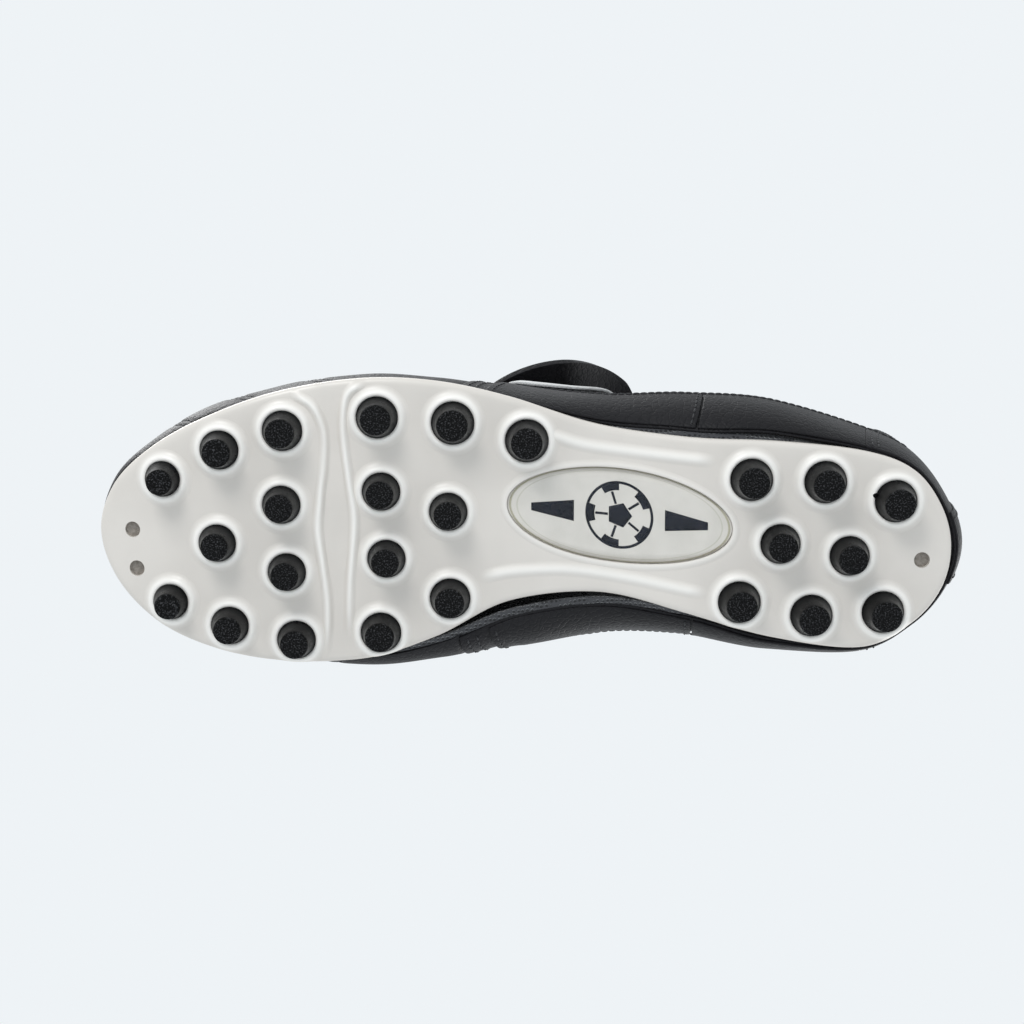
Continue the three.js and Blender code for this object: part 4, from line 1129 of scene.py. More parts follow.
def vamp_surface(t, angle, side, lift=0.0):
    offset = panel_outer(t) - quilt_relief(t, angle) + lift
    base = form(t, turned_to(angle, side), offset)
    under_quarter = 0.9 * (1 - eased(base[:, 0], seam_x(base[:, 2]) - 1.5, seam_x(base[:, 2]) + 2))
    flat = undulation(base, 0.22) * (1 - eased(t, 13, TOE))
    return form(t, turned_to(angle, side), offset + flat - under_quarter)


def half_vamp(side):
    def place(u, v):
        back = vamp_back[side](90 * v)
        for _ in range(4):
            t = back + (TOE - back) * u
            low = feather_angle(t)
            angle = low + (90 - low) * v
            back = vamp_back[side](angle)
        return vamp_surface(t, angle, side)

    return surface("vamp", 190, 64, place, closed=False)


vamp = welded(joined("vamp", [half_vamp(side) for side in SIDES]), 0.00008)
modified(vamp, "SOLIDIFY", thickness=0.0012, offset=-1)
smooth_edges(vamp, 50)


def leather(name, seed, scale=1.0):
    """Black grained leather with a soft sheen, a little worn and uneven."""
    hide = Finish(name, (0.008, 0.0075, 0.009), 0.46, Specular_IOR_Level=0.2)
    where = hide.node("Mapping", {}, {"Vector": hide.place(), "Location": (seed, seed * 0.7, seed * 1.3)})
    pebble = hide.cells(900 * scale, "SMOOTH_F1", where)
    crease = hide.cells(420 * scale, "DISTANCE_TO_EDGE", where)
    fine = hide.noise(2600, 3, 0.6, where)
    patch = hide.ramp(hide.noise(26, 3, 0.5, where), 0.35, 0.7)
    tone = hide.mix(patch, (0.0065, 0.006, 0.0072), (0.0115, 0.0108, 0.0125))
    hide.tones(hide.ramp(crease, 0.0, 0.12, 0.6, 0), tone, (0.0038, 0.0038, 0.0045))
    hide.set("Roughness", 0.40 + 0.10 * patch + 0.12 * fine)
    hide.relief(pebble * 0.8 + hide.ramp(crease, 0, 0.15) * 0.5 + fine * 0.15, 0.00022, 0.75)
    return hide.material


vamp.data.materials.append(leather("vamp_leather", 0.3))
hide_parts("vamp_forefoot", "vamp_crease", "vamp_throat")
flexing(vamp, *UPPER_BEND)

# ---- Sewing --------------------------------------------------------------------------------------
# Every seam is sewn with bonded black thread. One short stitch, sunk at both ends, is modelled once and
# laid end to end along each seam.

STITCH_PITCH = 2.6
stitch = added(bpy.ops.mesh.primitive_uv_sphere_add, "stitch", segments=6, ring_count=5, radius=1)
bpy.ops.object.mode_set(mode="EDIT")
bpy.ops.mesh.select_all(action="SELECT")
bpy.ops.transform.rotate(value=math.pi / 2, orient_axis="Y", center_override=(0, 0, 0))
bpy.ops.transform.resize(value=(1.22, 0.36, 0.36))
bpy.ops.object.mode_set(mode="OBJECT")
STITCH_CORNERS = np.array([corner.co for corner in stitch.data.vertices])
STITCH_FACES = [tuple(face.vertices) for face in stitch.data.polygons]
bpy.data.objects.remove(stitch)

thread = Finish("black_thread", (0.012, 0.012, 0.013), 0.6, Sheen_Weight=0.1, Specular_IOR_Level=0.3)
ply = thread.node("TexWave", {"bands_direction": "DIAGONAL"}, {"Vector": thread.place(), "Scale": 900.0})
thread.tones(ply, (0.006, 0.006, 0.007), (0.026, 0.026, 0.029))
thread.relief(ply, 0.0001, 0.8)


def seam_line(surface_of, t, angle, side, top=np.inf):
    """A line on an outer face, from above the feather line to a top angle, and the same line a millimetre
    further out."""
    keep = (angle >= feather_angle(t) + 1) & (angle < top)
    return surface_of(t[keep], angle[keep], side), surface_of(t[keep], angle[keep], side, 1.0)


def sewn(name, seams, body="rearfoot"):
    """Stitches along seams, each a line of points and the matching line a little further out."""
    corners, faces = [], []
    for points, raised in seams:
        reach = np.concatenate([[0], np.cumsum(np.linalg.norm(np.diff(points, axis=0), axis=1))])
        count = int(reach[-1] / STITCH_PITCH)
        for k in range(count):
            at = (k + 0.5) * reach[-1] / count
            here, start, end, over = (
                np.array([np.interp(where, reach, source[:, axis]) for axis in range(3)])
                for where, source in ((at, points), (at - 0.8, points), (at + 0.8, points), (at, raised))
            )
            along = (end - start) / np.linalg.norm(end - start)
            up = over - here
            up = up - along * up.dot(along)
            up = up / np.linalg.norm(up)
            turn = np.column_stack([along, np.cross(up, along), up])
            base = len(corners) * len(STITCH_CORNERS)
            faces += [tuple(base + index for index in face) for face in STITCH_FACES]
            corners.append(in_frame(STITCH_CORNERS @ turn.T + here + 0.05 * up))
    mesh = bpy.data.meshes.new(name)
    mesh.from_pydata(np.concatenate(corners).tolist(), [], faces)
    piece = bpy.data.objects.new(name, mesh)
    bpy.context.scene.collection.objects.link(piece)
    only(piece)
    bpy.ops.object.shade_smooth()
    piece.data.materials.append(thread.material)
    if body:
        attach(piece, body)
    return piece


def quilting_seam(number, step, side):
    angle = np.linspace(-52, 90, 160)
    t = quilt_station(number, angle) + step
    angle = np.maximum(angle, feather_angle(t) + 1)
    return seam_line(vamp_surface, t, angle, side)


quilting = []
for number in range(len(QUILTING)):
    for step in (0, QUILT_GAP):
        quilting += [quilting_seam(number, step, side) for side in SIDES]
flexing(sewn("vamp_quilting", quilting, body=None), *UPPER_BEND)

# ---- Quarters ------------------------------------------------------------------------------------
# Two leather side panels, from the vamp seam round to the back of the heel. Their front edges lie over the
# vamp and are sewn down with two rows.

STATION_STEP = 25.0
seam_station = edge_stations(2.9, lambda p: p[:, 0] > seam_x(p[:, 2]), (5, 11), 90, 500)


def over_vamp(points):
    """How far a piece is lifted where it comes to lie over the vamp."""
    seam = seam_x(points[:, 2])
    return 0.55 * eased(points[:, 0], seam - 22, seam - 6)


def quarter_surface(t, angle, side, lift=0.0):
    base = form(t, turned_to(angle, side), panel_outer(t))
    uneven = undulation(base, 0.2) * eased(t, 0, 1.5)
    return form(t, turned_to(angle, side), panel_outer(t) + over_vamp(base) + uneven + lift)


def rear_panel(piece, thickness, edge, hide, node):
    """Gives a shell its leather's thickness, rounds its edges and puts it on the shoe."""
    modified(piece, "SOLIDIFY", thickness=thickness / 1000, offset=-1)
    rounded(piece, edge)
    smooth_edges(piece, 50)
    piece.data.materials.append(leather(*hide))
    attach(piece, "rearfoot")
    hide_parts(node)


def half_quarter(side):
    def place(u, v):
        front = seam_station[side](60 * v)
        for _ in range(5):
            t = front * u
            under_roll, at_throat = top_angle[side, 4](t), top_angle[side, 0](t)
            low, high = feather_angle(t), under_roll + (at_throat - under_roll) * eased(t, 5, 6)
            angle = low + (high - low) * v
            front = seam_station[side](angle)
        return quarter_surface(t, angle, side)

    piece = outwards(surface("quarter_panel_" + SIDES[side], 150, 56, place, closed=False))
    hide = "quarter_leather_" + SIDES[side], 1.7 + side
    rear_panel(piece, 1.3, 0.35, hide, "quarter_" + SIDES[side])


def seam_row(side, behind):
    angle = np.linspace(-58, 62, 220)
    t = seam_station[side](angle) - behind / STATION_STEP
    return seam_line(quarter_surface, t, angle, side, top_angle[side, 0](t) - 3)


for side in SIDES:
    half_quarter(side)
sewn("quarter_sewing", [seam_row(side, behind) for side in SIDES for behind in (2.2, 5.0)])

# ---- Foxing --------------------------------------------------------------------------------------
# A strip of leather along the foot of each quarter, joined from two lengths at the waist and sewn along
# its top edge.

FOXING_TOP = smooth_line([(60, 37.5), (70, 37), (96, 36), (128, 38), (152, 43), (163, 52)], 200)
FOXING_JOIN = 83
STRIP, STRIP_EDGE = 1.15, 0.3
FOXING_FRONT_GAP = 9.0
HEEL_LINE = smooth_line([(31, -10), (29, 20), (22, 46), (4, 68)], 200)


def foxing_height(x):
    return np.interp(x, *FOXING_TOP.T)


def heel_line_x(z):
    return np.interp(z, HEEL_LINE[:, 1], HEEL_LINE[:, 0])


def overlay_surface(t, angle, side, lift=0.0):
    """Outer face of the pieces sewn over the panels."""
    base = form(t, turned_to(angle, side), panel_outer(t))
    return form(t, turned_to(angle, side), panel_outer(t) + over_vamp(base) + 0.2 + OVERLAY + lift)


foxing_angle = edge_angles(3.5, lambda p: p[:, 2] > foxing_height(p[:, 0]), 9, 400)
heel_station = edge_stations(4.5, lambda p: p[:, 0] > heel_line_x(p[:, 2]), (0, 5), 60, 300)


def between(u, v, back, front, top, reach=60):
    """Station and angle at shares u and v of a panel whose back and front ends change with the angle."""
    angle = -30 + reach * v
    for _ in range(5):
        t = back(angle) + (front(angle) - back(angle)) * u
        low = feather_angle(t)
        angle = low + (top(t) - low) * v
    return t, angle


def strip_panel(name, side, back, front, node, seed):
    """A length of the strip, between two ends."""

    def place(u, v):
        return overlay_surface(*between(u, v, back, front, foxing_angle[side]), side)

    piece = outwards(surface(name, 80, 30, place, closed=False))
    rear_panel(piece, STRIP, STRIP_EDGE, (name + "_leather", seed), node)


JOIN_STATION = float(station_at(FOXING_JOIN))
JOIN_GAP = 0.012


def join_line(angle):
    """The joint leans back towards the top."""
    return JOIN_STATION + 0.05 - 0.0022 * (angle + 30)


def after_join(angle):
    return join_line(angle) + JOIN_GAP


def before_join(angle):
    return join_line(angle) - JOIN_GAP


rows = []
for side, name in SIDES.items():
    def front_end(angle, side=side):
        return seam_station[side](angle) - FOXING_FRONT_GAP / STATION_STEP

    strip_panel("foxing_strip_front_" + name, side, after_join, front_end, "foxing_front_" + name, 3.1 + side)
    strip_panel(
        "foxing_strip_rear_" + name, side, heel_station[side], before_join, "foxing_rear_" + name, 4.3 + side
    )
    ends = heel_station[side](np.array([10.0]))[0] + 0.06, front_end(np.array([20.0]))[0] - 0.05
    along = np.linspace(*ends, 300)
    for below in (2.2, 4.6):
        rows.append(seam_line(overlay_surface, along, foxing_angle[side](along) - below, side))
    angle = np.linspace(-70, float(foxing_angle[side](np.array([JOIN_STATION]))[0]) - 3, 90)
    rows.append(seam_line(overlay_surface, join_line(angle) + 0.07, angle, side))
    angle = np.linspace(-60, float(foxing_angle[side](np.array([6.3]))[0]) - 6, 90)
    rows.append(seam_line(overlay_surface, front_end(angle) - 0.08, angle, side))
sewn("foxing_sewing", rows)

# ---- Heel cover and backstay ---------------------------------------------------------------------
# One leather cover wraps the heel counter, sewn along its front edge with two rows. A narrow strip up
# the middle of the heel covers its centre seam.

HEEL_TOP = 4.0
HEEL_COVER_TOP = 67


def above_cover(points):
    return points[:, 2] > np.minimum(HEEL_COVER_TOP, topline(points[:, 0]) - HEEL_TOP)


heel_top_angle = edge_angles(4.5, above_cover, 5, 300)


def heel_end(angle):
    return 0 * angle


def cover(side):
    def place(u, v):
        return overlay_surface(*between(u, v, heel_end, heel_station[side], heel_top_angle[side]), side)

    return surface("heel_wrap", 50, 44, place, closed=False)


heel_wrap = welded(joined("heel_wrap", [cover(side) for side in SIDES]), 0.00008)
rear_panel(heel_wrap, STRIP, STRIP_EDGE, ("heel_leather", 6.2), "heel_cover")

BACKSTAY_HALF = 12.0
BACKSTAY_LIFT = 0.75
HEEL_MIDDLE = -9.0


def stay_surface(t, angle, side, lift=0.0):
    return form(t, turned_to(angle, side), panel_outer(t) + 0.2 + OVERLAY + BACKSTAY_LIFT + lift)


stay_station = edge_stations(5, lambda p: np.abs(p[:, 1] - HEEL_MIDDLE) > BACKSTAY_HALF, (0, 3), 80, 300)


def stay(side):
    def place(u, v):
        return stay_surface(*between(u, v, heel_end, stay_station[side], top_angle[side, 4], 90), side)

    return surface("backstay_strip", 16, 56, place, closed=False)


backstay = welded(joined("backstay_strip", [stay(side) for side in SIDES]), 0.00008)
rear_panel(backstay, 0.8, STRIP_EDGE, ("backstay_leather", 7.9), "backstay")

rows = []
for side in SIDES:
    angle = np.linspace(-65, 36, 160)
    for behind in (0.10, 0.20):
        t = heel_station[side](angle) - behind
        rows.append(seam_line(overlay_surface, t, angle, side, heel_top_angle[side](t) - 2))
    angle = np.linspace(-66, 55, 160)
    t = stay_station[side](angle) * 0.82
    rows.append(seam_line(stay_surface, t, angle, side, top_angle[side, 4](t) - 2))
sewn("heel_sewing", rows)

# ---- Collar --------------------------------------------------------------------------------------
# A foam roll covered in thin black leather, from one end of the lacing opening round the ankle to the
# other, sewn to the quarters along its lower edge.

COLLAR_ROLL = 11.0
COLLAR_STATION = 5.55


def roll_point(t, side, turn):
    """Point of the roll's section: turn 0 faces out, 90 is its crest and 180 faces the foot."""
    top = top_angle[side, 0](t)
    crest = form(t, turned_to(top, side), 1.0)
    below = form(t, turned_to(top - 4, side), 1.0)
    per_millimetre = 4 / np.linalg.norm(crest - below, axis=1)
    outer = panel_outer(t) + 0.55
    inner = -COLLAR_DEPTH * 0.85 * (1 - eased(crest[:, 0], 76, 100))
    middle, half = (outer + inner) / 2, (outer - inner) / 2
    sine, cosine = np.sin(np.radians(turn)), np.cos(np.radians(turn))
    offset = middle + half * crowned(cosine, 0.8)
    drop = COLLAR_ROLL / 2 * (1 - crowned(sine, 0.9))
    crease = 0.12 * np.sin(t * 31) * np.abs(cosine)
    return form(t, turned_to(top - drop * per_millimetre, side), offset + crease)


def roll(u, v):
    """The roll from its lateral end round the heel to its medial end."""
    t = COLLAR_STATION * np.abs(1 - 2 * u)
    lateral, medial = roll_point(t, 1, 360 * v), roll_point(t, -1, 360 * v)
    return np.where((u < 0.5)[:, None], lateral, medial)


collar_roll = capped(surface("collar_roll", 180, 24, roll))
collar_roll.data.materials.append(leather("collar_leather", 9.4, 1.3))
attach(collar_roll, "rearfoot")
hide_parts("collar_padding")

rows = []
for side in SIDES:
    t = np.linspace(0.05, 5.2, 300)
    angle = top_angle[side, 8](t) - 6.5
    rows.append((quarter_surface(t, angle, side, 0.05), quarter_surface(t, angle, side, 1.0)))
sewn("collar_sewing", rows)

# ---- Eyestays ------------------------------------------------------------------------------------
# A doubled edge of leather each side of the lacing opening, meeting in front of it, with five punched
# eyelets a side and a row of stitching along both edges.

EYESTAY_WIDTH = 15.0
EYELET_X = [166, 151.5, 137, 122.5, 108]
EYELET_INSET = 6.5


def over_plan(x, y, offset):
    """The form's surface over a point of the plan."""
    t = station_at(x)
    offset = offset(t) if callable(offset) else np.full(len(x), float(offset))
    centre = form(t, 90, offset)[:, 1]
    far = np.abs(y - centre)
    side = np.where(y > centre, 1, -1)
    near, away = np.full(len(x), 90.0), np.zeros(len(x))
    for _ in range(24):
        middle = (near + away) / 2
        angle = np.where(side > 0, middle, 180 - middle)
        short = np.abs(form(t, angle, offset)[:, 1] - centre) < far
        near, away = np.where(short, middle, near), np.where(short, away, middle)
    return form(t, np.where(side > 0, near, 180 - near), offset)


def stay_offset(t):
    return panel_outer(t) + 0.3 + OVERLAY


def stay_back(side):
    """Where each line of an eyestay starts: its surface has come down under the collar's top edge."""
    outs = np.linspace(0, EYESTAY_WIDTH, 24)
    x = np.linspace(86, 107, 64)
    starts = []
    for out in outs:
        high = over_plan(x, throat_middle(x) + side * (throat_half(x) + out), stay_offset)[:, 2]
        proud = (high > topline(x) - 2.5) & (x < 106.5)
        starts.append(x[proud].max() if proud.any() else x[0])
    starts = np.convolve(np.pad(starts, 2, mode="edge"), np.full(5, 0.2), mode="valid")
    return lambda out: np.interp(out, outs, starts)


STAY_BACK = {side: stay_back(side) for side in SIDES}


def throat_edge(s, out, side):
    """Plan point at share s of the way from the ankle to the front of the lacing opening."""
    back = STAY_BACK[side](out)
    straight = THROAT_CENTRE - back
    arc = THROAT_HALF_FRONT * math.pi / 2
    reach = s * (straight + arc)
    x_line = back + np.minimum(reach, straight)
    turn = np.maximum(0, reach - straight) / THROAT_HALF_FRONT
    half = throat_half(x_line) + out
    x = np.where(reach <= straight, x_line, THROAT_CENTRE + (THROAT_HALF_FRONT + out) * np.sin(turn))
    aside = np.where(reach <= straight, half, (THROAT_HALF_FRONT + out) * np.cos(turn))
    return x, throat_middle(x_line) + side * aside


def half_eyestay(side):
    def place(u, v):
        x, y = throat_edge(u * 0.998, 0.2 + (EYESTAY_WIDTH - 0.2) * v, side)
        return over_plan(x, y, stay_offset)

    piece = outwards(surface("eyestay_band_" + SIDES[side], 110, 18, place, closed=False))
    modified(piece, "SOLIDIFY", thickness=0.0013, offset=-1)
    for x in EYELET_X:
        y = throat_middle(x) + side * (throat_half(x) + EYELET_INSET)
        spot = in_frame(over_plan(np.array([x]), np.array([y]), 3.0))[0]
        hole = {"vertices": 28, "radius": 0.0025, "depth": 0.012, "location": spot}
        punch = added(bpy.ops.mesh.primitive_cylinder_add, "punch", **hole)
        modified(piece, "BOOLEAN", object=punch, operation="DIFFERENCE", solver="EXACT")
        bpy.data.objects.remove(punch)
    smooth_edges(piece, 45)
    piece.data.materials.append(leather("eyestay_leather_" + SIDES[side], 11.0 + side))
    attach(piece, "rearfoot")
    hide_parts("eyestay_" + SIDES[side])


rows = []
for side in SIDES:
    half_eyestay(side)
    for out in (1.8, EYESTAY_WIDTH - 4.0, EYESTAY_WIDTH - 1.6):
        x, y = throat_edge(np.linspace(0.02, 0.99, 200), out, side)
        rows.append((over_plan(x, y, stay_offset), over_plan(x, y, lambda t: stay_offset(t) + 1)))
sewn("eyestay_sewing", rows)

# ---- Tongue --------------------------------------------------------------------------------------
# A padded leather tongue under the laces. Its top is rolled over a cord, and the flap folds forward
# from there.

TONGUE_TOP_X, TONGUE_FRONT_X = 98.0, 184
TONGUE_OUT = -3.8
TONGUE_THICK = 4.2
FOLD_X, FOLD_Z, FOLD_RADIUS, FOLD_HALF = 99.0, 102.9, 2.6, 14.0
ROLL_END = 1.6
NECK_DROP = 5.2
TONGUE_HALF = smooth_line([(98, 20), (120, 22.5), (150, 21), (176, 16.5), (184, 9)], 200)


def tongue_sheet(u, v):
    """Closed crowned pad: out along its top face and back along its underside."""
    x = TONGUE_TOP_X + 0.5 + (TONGUE_FRONT_X - TONGUE_TOP_X - 0.7) * u
    turn = 2 * np.pi * v
    half = np.interp(x, *TONGUE_HALF.T) * np.sqrt(np.clip(1 - ((x - 176) / 8.6) ** 2, 0.02, 1)) ** (x > 176)
    across = crowned(np.cos(turn), 0.7)
    thick = TONGUE_THICK / 2 * crowned(np.sin(turn), 0.45)
    quilt = 0.25 * np.cos((x - TONGUE_TOP_X) * 2 * np.pi / 14) * (thick > 0)
    middle = throat_middle(x) - 0.5
    inward = over_plan(x, middle + half * across, TONGUE_OUT - TONGUE_THICK / 2)
    return inward + np.column_stack([0 * x, 0 * x, thick + quilt])


tongue = capped(surface("tongue_pad", 70, 40, tongue_sheet))


def rolled_top(u, v):
    """The leather that comes up from the pad and round the cord, as one closed roll with a neck."""
    turn = 2 * np.pi * v
    x = FOLD_RADIUS * np.cos(turn)
    z = FOLD_RADIUS * np.sin(turn)
    neck = (z < 0) * eased(-z, 0.8, FOLD_RADIUS)
    length = FOLD_HALF * (2 * u - 1)
    past = np.abs(length) - FOLD_HALF + ROLL_END
    end = np.sqrt(np.clip(1 - (past / ROLL_END) ** 2, 0.0, 1)) ** (np.abs(length) > FOLD_HALF - ROLL_END)
    return np.column_stack([
        FOLD_X + x * end + 0.8 * neck,
        throat_middle(TONGUE_TOP_X) + length,
        FOLD_Z + z * end - NECK_DROP * neck,
    ])


roll_top = surface("rolled_top", 40, 32, rolled_top)
joined("tongue_pad", [tongue, roll_top])
tongue.data.materials.append(leather("tongue_leather", 13.6, 1.1))
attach(tongue, "rearfoot")
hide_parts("tongue")

# ---- Tongue flap ---------------------------------------------------------------------------------
# A wide leather flap, rounded all round, that folds forward from the top of the tongue and covers the
# laces. It hangs a little at its sides and is edge-stitched.

FLAP = 2.2
FLAP_FRONT = 177.0
FLAP_OVER_ROLL = 0.6
CORNER = 7.5
FLAP_WIDEST, FLAP_BACK, FLAP_HALF, FLAP_Y = 128.0, 38.0, 49.5, -1.0
FLAP_FALL, FLAP_DROOP, FLAP_TIP_FALL = 0.27, 19.0, 3.6


def flap_ellipse(x, inset=0.0):
    """Half width of the flap's rounded outline, drawn in by an inset."""
    reach = np.where(x < FLAP_WIDEST, FLAP_BACK, FLAP_FRONT - FLAP_WIDEST) - inset
    return (FLAP_HALF - inset) * np.sqrt(np.clip(1 - ((x - FLAP_WIDEST) / reach) ** 2, 0, 1))


def flap_half(x):
    """Half width of the flap, which comes in to the roll with rounded corners."""
    half = flap_ellipse(x)
    corner = np.sqrt(np.clip(1 - (1 - np.clip((x - FOLD_X + 0.2) / CORNER, 0, 1)) ** 2, 0, 1))
    neck = FOLD_HALF + 1.0
    widening = np.where(x < FOLD_X + CORNER, neck + (half - neck) * corner, half)
    return np.where(x > FOLD_X - 0.5, widening, neck)


def flap_surface(x, y, lift=0.0):
    """Underside of the flap over a point of the plan."""
    ahead = np.maximum(x - FOLD_X, 0)
    droop = FLAP_DROOP * eased(ahead, 3, 32) * (y / 50) ** 2 + FLAP_TIP_FALL * eased(ahead, 44, 80)
    wave = 0.3 * np.sin(x * 0.16) * np.sin(y * 0.11 + 1) * eased(ahead, 4, 30)
    level = FOLD_Z + FOLD_RADIUS + FLAP_OVER_ROLL - FLAP_FALL * ahead - droop
    return np.column_stack([x, FLAP_Y + y, level + wave + lift])


def flap_sheet(u, v):
    """Round the back of the roll first, then forward along the flap."""
    wrapped = 0.12
    along = np.clip((u - wrapped) / (1 - wrapped), 0, 1)
    x = FOLD_X + (FLAP_FRONT - FOLD_X) * (1 - np.cos(np.pi * along)) / 2
    y = flap_half(x) * (2 * v - 1)
    flat = flap_surface(x, y)
    turn = np.radians(90 + 80 * (1 - np.minimum(u / wrapped, 1)))
    radius = FOLD_RADIUS + FLAP_OVER_ROLL
    bent = np.column_stack([
        FOLD_X + radius * np.cos(turn),
        FLAP_Y + (FOLD_HALF + 1) * (2 * v - 1),
        FOLD_Z + radius * np.sin(turn),
    ])
    return np.where((u < wrapped)[:, None], bent, flat)


flap = surface("flap_leather", 120, 60, flap_sheet, closed=False)
facing(flap, 1)
modified(flap, "SOLIDIFY", thickness=FLAP / 1000, offset=1, use_even_offset=False)
rounded(flap, 0.7, 3)
smooth_edges(flap, 50)
flap.data.materials.append(leather("flap_hide", 17.2, 0.9))
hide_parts("tongue_flap")


def at_the_fold(piece):
    """Bakes a finished piece's placement into its mesh, without bending it round the roll."""
    start, end = in_frame(np.array([(FOLD_X - 3.0, 0, FOLD_Z), (FOLD_X + 2.2, 0, FOLD_Z)]))
    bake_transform(piece)


at_the_fold(flap)


def flap_row(inset, lift):
    """Closed line inside the flap's edge."""
    turn = np.linspace(0, 2 * np.pi, 500)
    reach = np.where(np.cos(turn) > 0, FLAP_FRONT - FLAP_WIDEST, FLAP_BACK) - inset
    x = np.maximum(FLAP_WIDEST + reach * np.cos(turn), FOLD_X + 3.5)
    half = np.minimum(flap_ellipse(x, inset), np.maximum(flap_half(x) - inset, 0))
    return flap_surface(x, half * np.sign(np.sin(turn)), lift)


flap_rows = [(flap_row(inset, FLAP), flap_row(inset, FLAP + 1)) for inset in (2.6, 5.2)]
sewn("flap_sewing", flap_rows, body="flap")

# ---- Lace ----------------------------------------------------------------------------------------
# A flat woven white lace, crossed up through five pairs of eyelets and tied in a bow, with a clear tip on
# each end. The bow lies under the flap, and its lateral loop has slipped out and hangs down the side.

LACE_WIDTH = 4.2
LACE_THICK = 1.3
LACE_CLEAR = 0.5
INSTEP = np.array((1, 0, -0.32))


def lace_over(t):
    return stay_offset(t) + LACE_THICK / 2 + LACE_CLEAR


LACE_UNDER = TONGUE_OUT / 2
ON_TONGUE = TONGUE_OUT + LACE_THICK / 2 + 0.9


def eyelet_at(row, side):
    x = EYELET_X[row]
    return np.array((x, throat_middle(x) + side * (throat_half(x) + EYELET_INSET)), float)


def over_point(plan, offset):
    return over_plan(np.array([plan[0]]), np.array([plan[1]]), offset)[0]


def crossing(row, side, lift):
    start, end = eyelet_at(row, side), eyelet_at(row + 1, -side)
    stops = [(share, lace_over) for share in (0, 0.09, 0.18)]
    stops += [(0.34, ON_TONGUE + lift + 1), (0.5, ON_TONGUE + lift), (0.6, ON_TONGUE + lift / 2)]
    stops += [(share, LACE_UNDER) for share in (0.71, 0.86, 1)]
    return [over_point(start + (end - start) * share, offset) for share, offset in stops]


KNOT_X = 106.5
KNOT_Y = float(throat_middle(KNOT_X))


def tied(distance, low, high, lift=0.0):
    """Height over the form: low on the tongue at the knot, over the eyestays at the sides."""
    share = float(eased(np.array(distance), low, high))
    return lambda t: 0.8 + (lace_over(t) - 0.8) * share + lift


def strand(side, lift):
    route = []
    for row in range(len(EYELET_X) - 1):
        route += crossing(row, -side if row % 2 else side, lift)
    end = eyelet_at(len(EYELET_X) - 1, side)
    for share in (0, 0.2, 0.4, 0.6, 0.76):
        plan = (end[0] - 1.5 * share, end[1] + (KNOT_Y - end[1]) * share)
        route.append(over_point(plan, tied(abs(plan[1] - KNOT_Y), 6, 18)))
    return route


def ribbon(name, route, width, across, steps=5):
    """Flat woven lace with rounded edges along a route."""
    line = smooth_line(route, (len(route) - 1) * steps + 1)
    count = len(line) - 1
    ahead = np.gradient(line, axis=0)
    ahead = ahead / np.linalg.norm(ahead, axis=1)[:, None]
    hint = across(line, ahead) if callable(across) else np.broadcast_to(np.array(across, float), line.shape)
    side = hint - ahead * (ahead * hint).sum(axis=1)[:, None]
    side = side / np.linalg.norm(side, axis=1)[:, None]
    up = np.cross(ahead, side)

    def place(u, v):
        i = np.rint(u * count).astype(int)
        turn = 2 * np.pi * v
        wide = crowned(np.cos(turn), 0.6) * width / 2
        thick = crowned(np.sin(turn), 0.6) * LACE_THICK / 2
        return line[i] + side[i] * wide[:, None] + up[i] * thick[:, None]

    return capped(surface(name, count, 16, place))


first, second = eyelet_at(0, 1), eyelet_at(0, -1)
front_bar = [
    over_point((first + second) / 2 + (first - second) / 2 * share, LACE_UNDER) for share in (0.5, 0, -0.5)
]
route = [*reversed(strand(1, 0.0)), *front_bar, *strand(-1, LACE_THICK + 0.6)]
lace = ribbon("lace_ribbon", route, LACE_WIDTH, INSTEP)

cotton = Finish("lace_weave", (0.78, 0.775, 0.76), 0.85, Sheen_Weight=0.3)


def strands_along(way, scale):
    waves = {"Vector": cotton.place(), "Scale": scale, "Distortion": 0.6}
    return cotton.node("TexWave", {"bands_direction": way}, waves)


plait = strands_along("DIAGONAL", 520.0) * strands_along("Y", 640.0)
cotton.tones(plait, (0.60, 0.595, 0.58), (0.82, 0.815, 0.80))
cotton.relief(plait, 0.0003, 0.8)
lace.data.materials.append(cotton.material)
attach(lace, "rearfoot")
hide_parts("lace")

BOW_LIFT = LACE_THICK + 1.3
LOOP = [
    (1.4, 4), (4, 11), (6.5, 20), (6.5, 25), (3.5, 29.5), (-2, 30), (-4.6, 25), (-4, 20), (-2, 11), (-1.4, 4),
]
HANGING_LOOP = [
    (5.58, 82), (5.62, 70), (5.68, 56), (5.74, 42), (5.84, 27), (6.02, 15), (6.35, 10), (6.7, 9.5),
    (6.95, 13), (6.98, 22), (6.78, 33), (6.4, 44), (6.0, 57), (5.76, 70), (5.64, 82),
]
TAIL = [(2, 2), (9, 8), (17, 13), (26, 16), (35, 18)]
TIP = [(35.5, 18.1), (42, 19.2), (49, 20)]


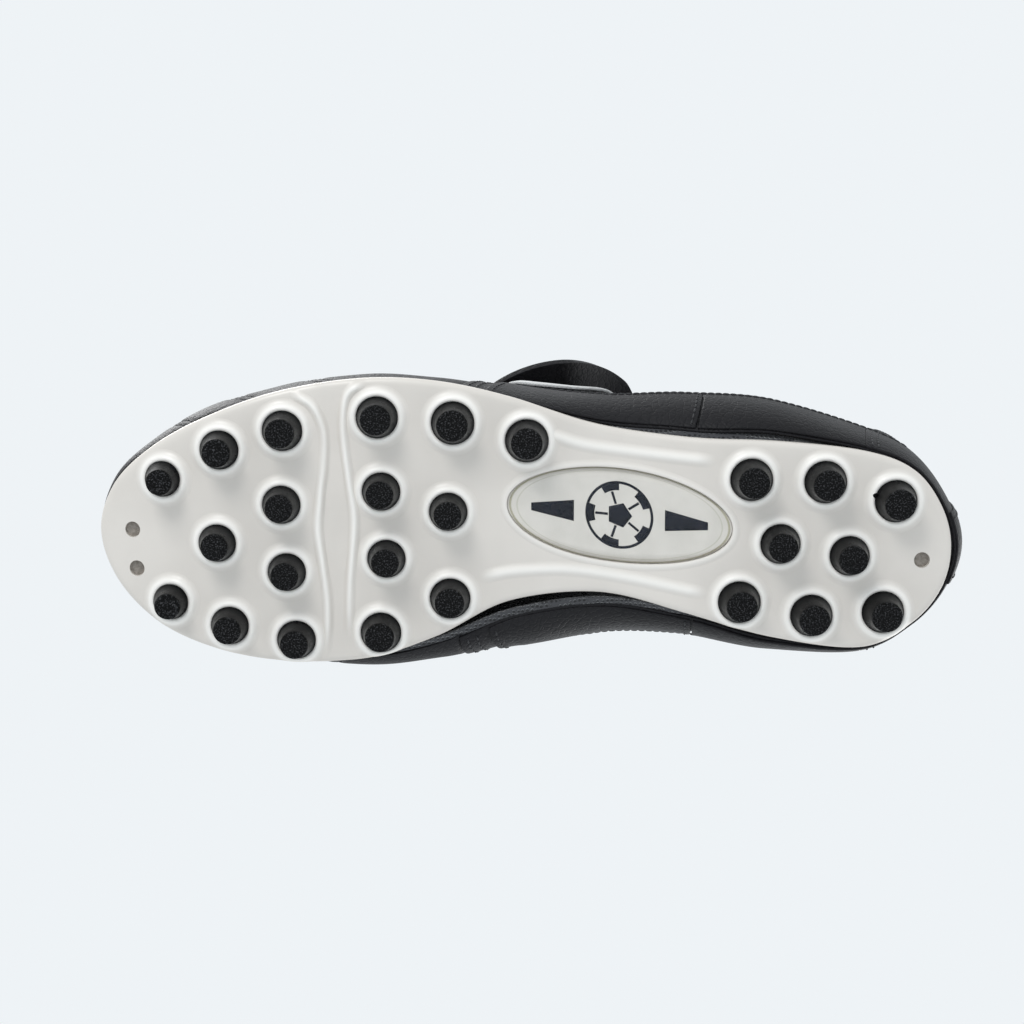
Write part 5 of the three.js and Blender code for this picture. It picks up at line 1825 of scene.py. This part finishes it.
def bow_route(points, side):
    route = []
    for ahead, aside in points:
        plan = (KNOT_X + ahead, KNOT_Y + side * aside)
        route.append(over_point(plan, tied(aside, 4, 13, BOW_LIFT)))
    return route


def hanging_route():
    """The loop that hangs down the lateral side: over the other rows near the knot, then on the leather."""
    t, angle = np.array(HANGING_LOOP).T
    lift = 0.2 + BOW_LIFT * eased(angle, 30, 58)
    return list(form(t, angle, lace_over(t) + lift))


def on_leather(line, ahead):
    """Across a lace that lies flat on the side of the shoe."""
    outward = line - np.array((0, -3, 45)) * (0, 1, 1)
    outward[:, 0] = 0
    return np.cross(ahead, outward)


def knot_shape(u, v):
    """Two turns of lace pulled tight round each other."""
    turn, rise = 2 * np.pi * u, np.pi * (v - 0.5)
    bulge = 1 + 0.10 * np.cos(3 * turn + 2.5 * np.sin(rise))
    across = bulge * np.cos(rise)
    lump = np.column_stack([3.4 * across * np.cos(turn), 5.0 * across * np.sin(turn), 2.5 * np.sin(rise)])
    return over_point((KNOT_X, KNOT_Y), 2.0) + lump


bow = [surface("knot", 36, 18, knot_shape)]
for side, name in SIDES.items():
    if side > 0:
        bow.append(ribbon("loop", hanging_route(), LACE_WIDTH * 0.8, on_leather))
    else:
        bow.append(ribbon("loop", bow_route(LOOP, side), LACE_WIDTH * 0.6, (0.3, 0.05, 1)))
    bow.append(ribbon("tail", bow_route(TAIL, side), LACE_WIDTH, (side * 0.6, -1, 0)))
    tip = ribbon("tip_" + name, bow_route(TIP, side), LACE_WIDTH / 2, (side * 0.6, -1, 0), 8)
    tube = Finish("tip_film_" + name, (0.55, 0.55, 0.53), 0.18, Coat_Weight=0.5, Coat_Roughness=0.1)
    tube.set("Roughness", tube.ramp(tube.noise(700, 3), 0.35, 0.7, 0.12, 0.3))
    tube.tones(tube.ramp(tube.noise(300, 2), 0.3, 0.7), (0.5, 0.5, 0.48), (0.66, 0.66, 0.63))
    tip.data.materials.append(tube.material)
    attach(tip, "rearfoot")
    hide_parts("lace_tip_" + name)
joined("bow", bow)
bow[0].data.materials.append(cotton.material)
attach(bow[0], "rearfoot")
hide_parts("lace_bow")
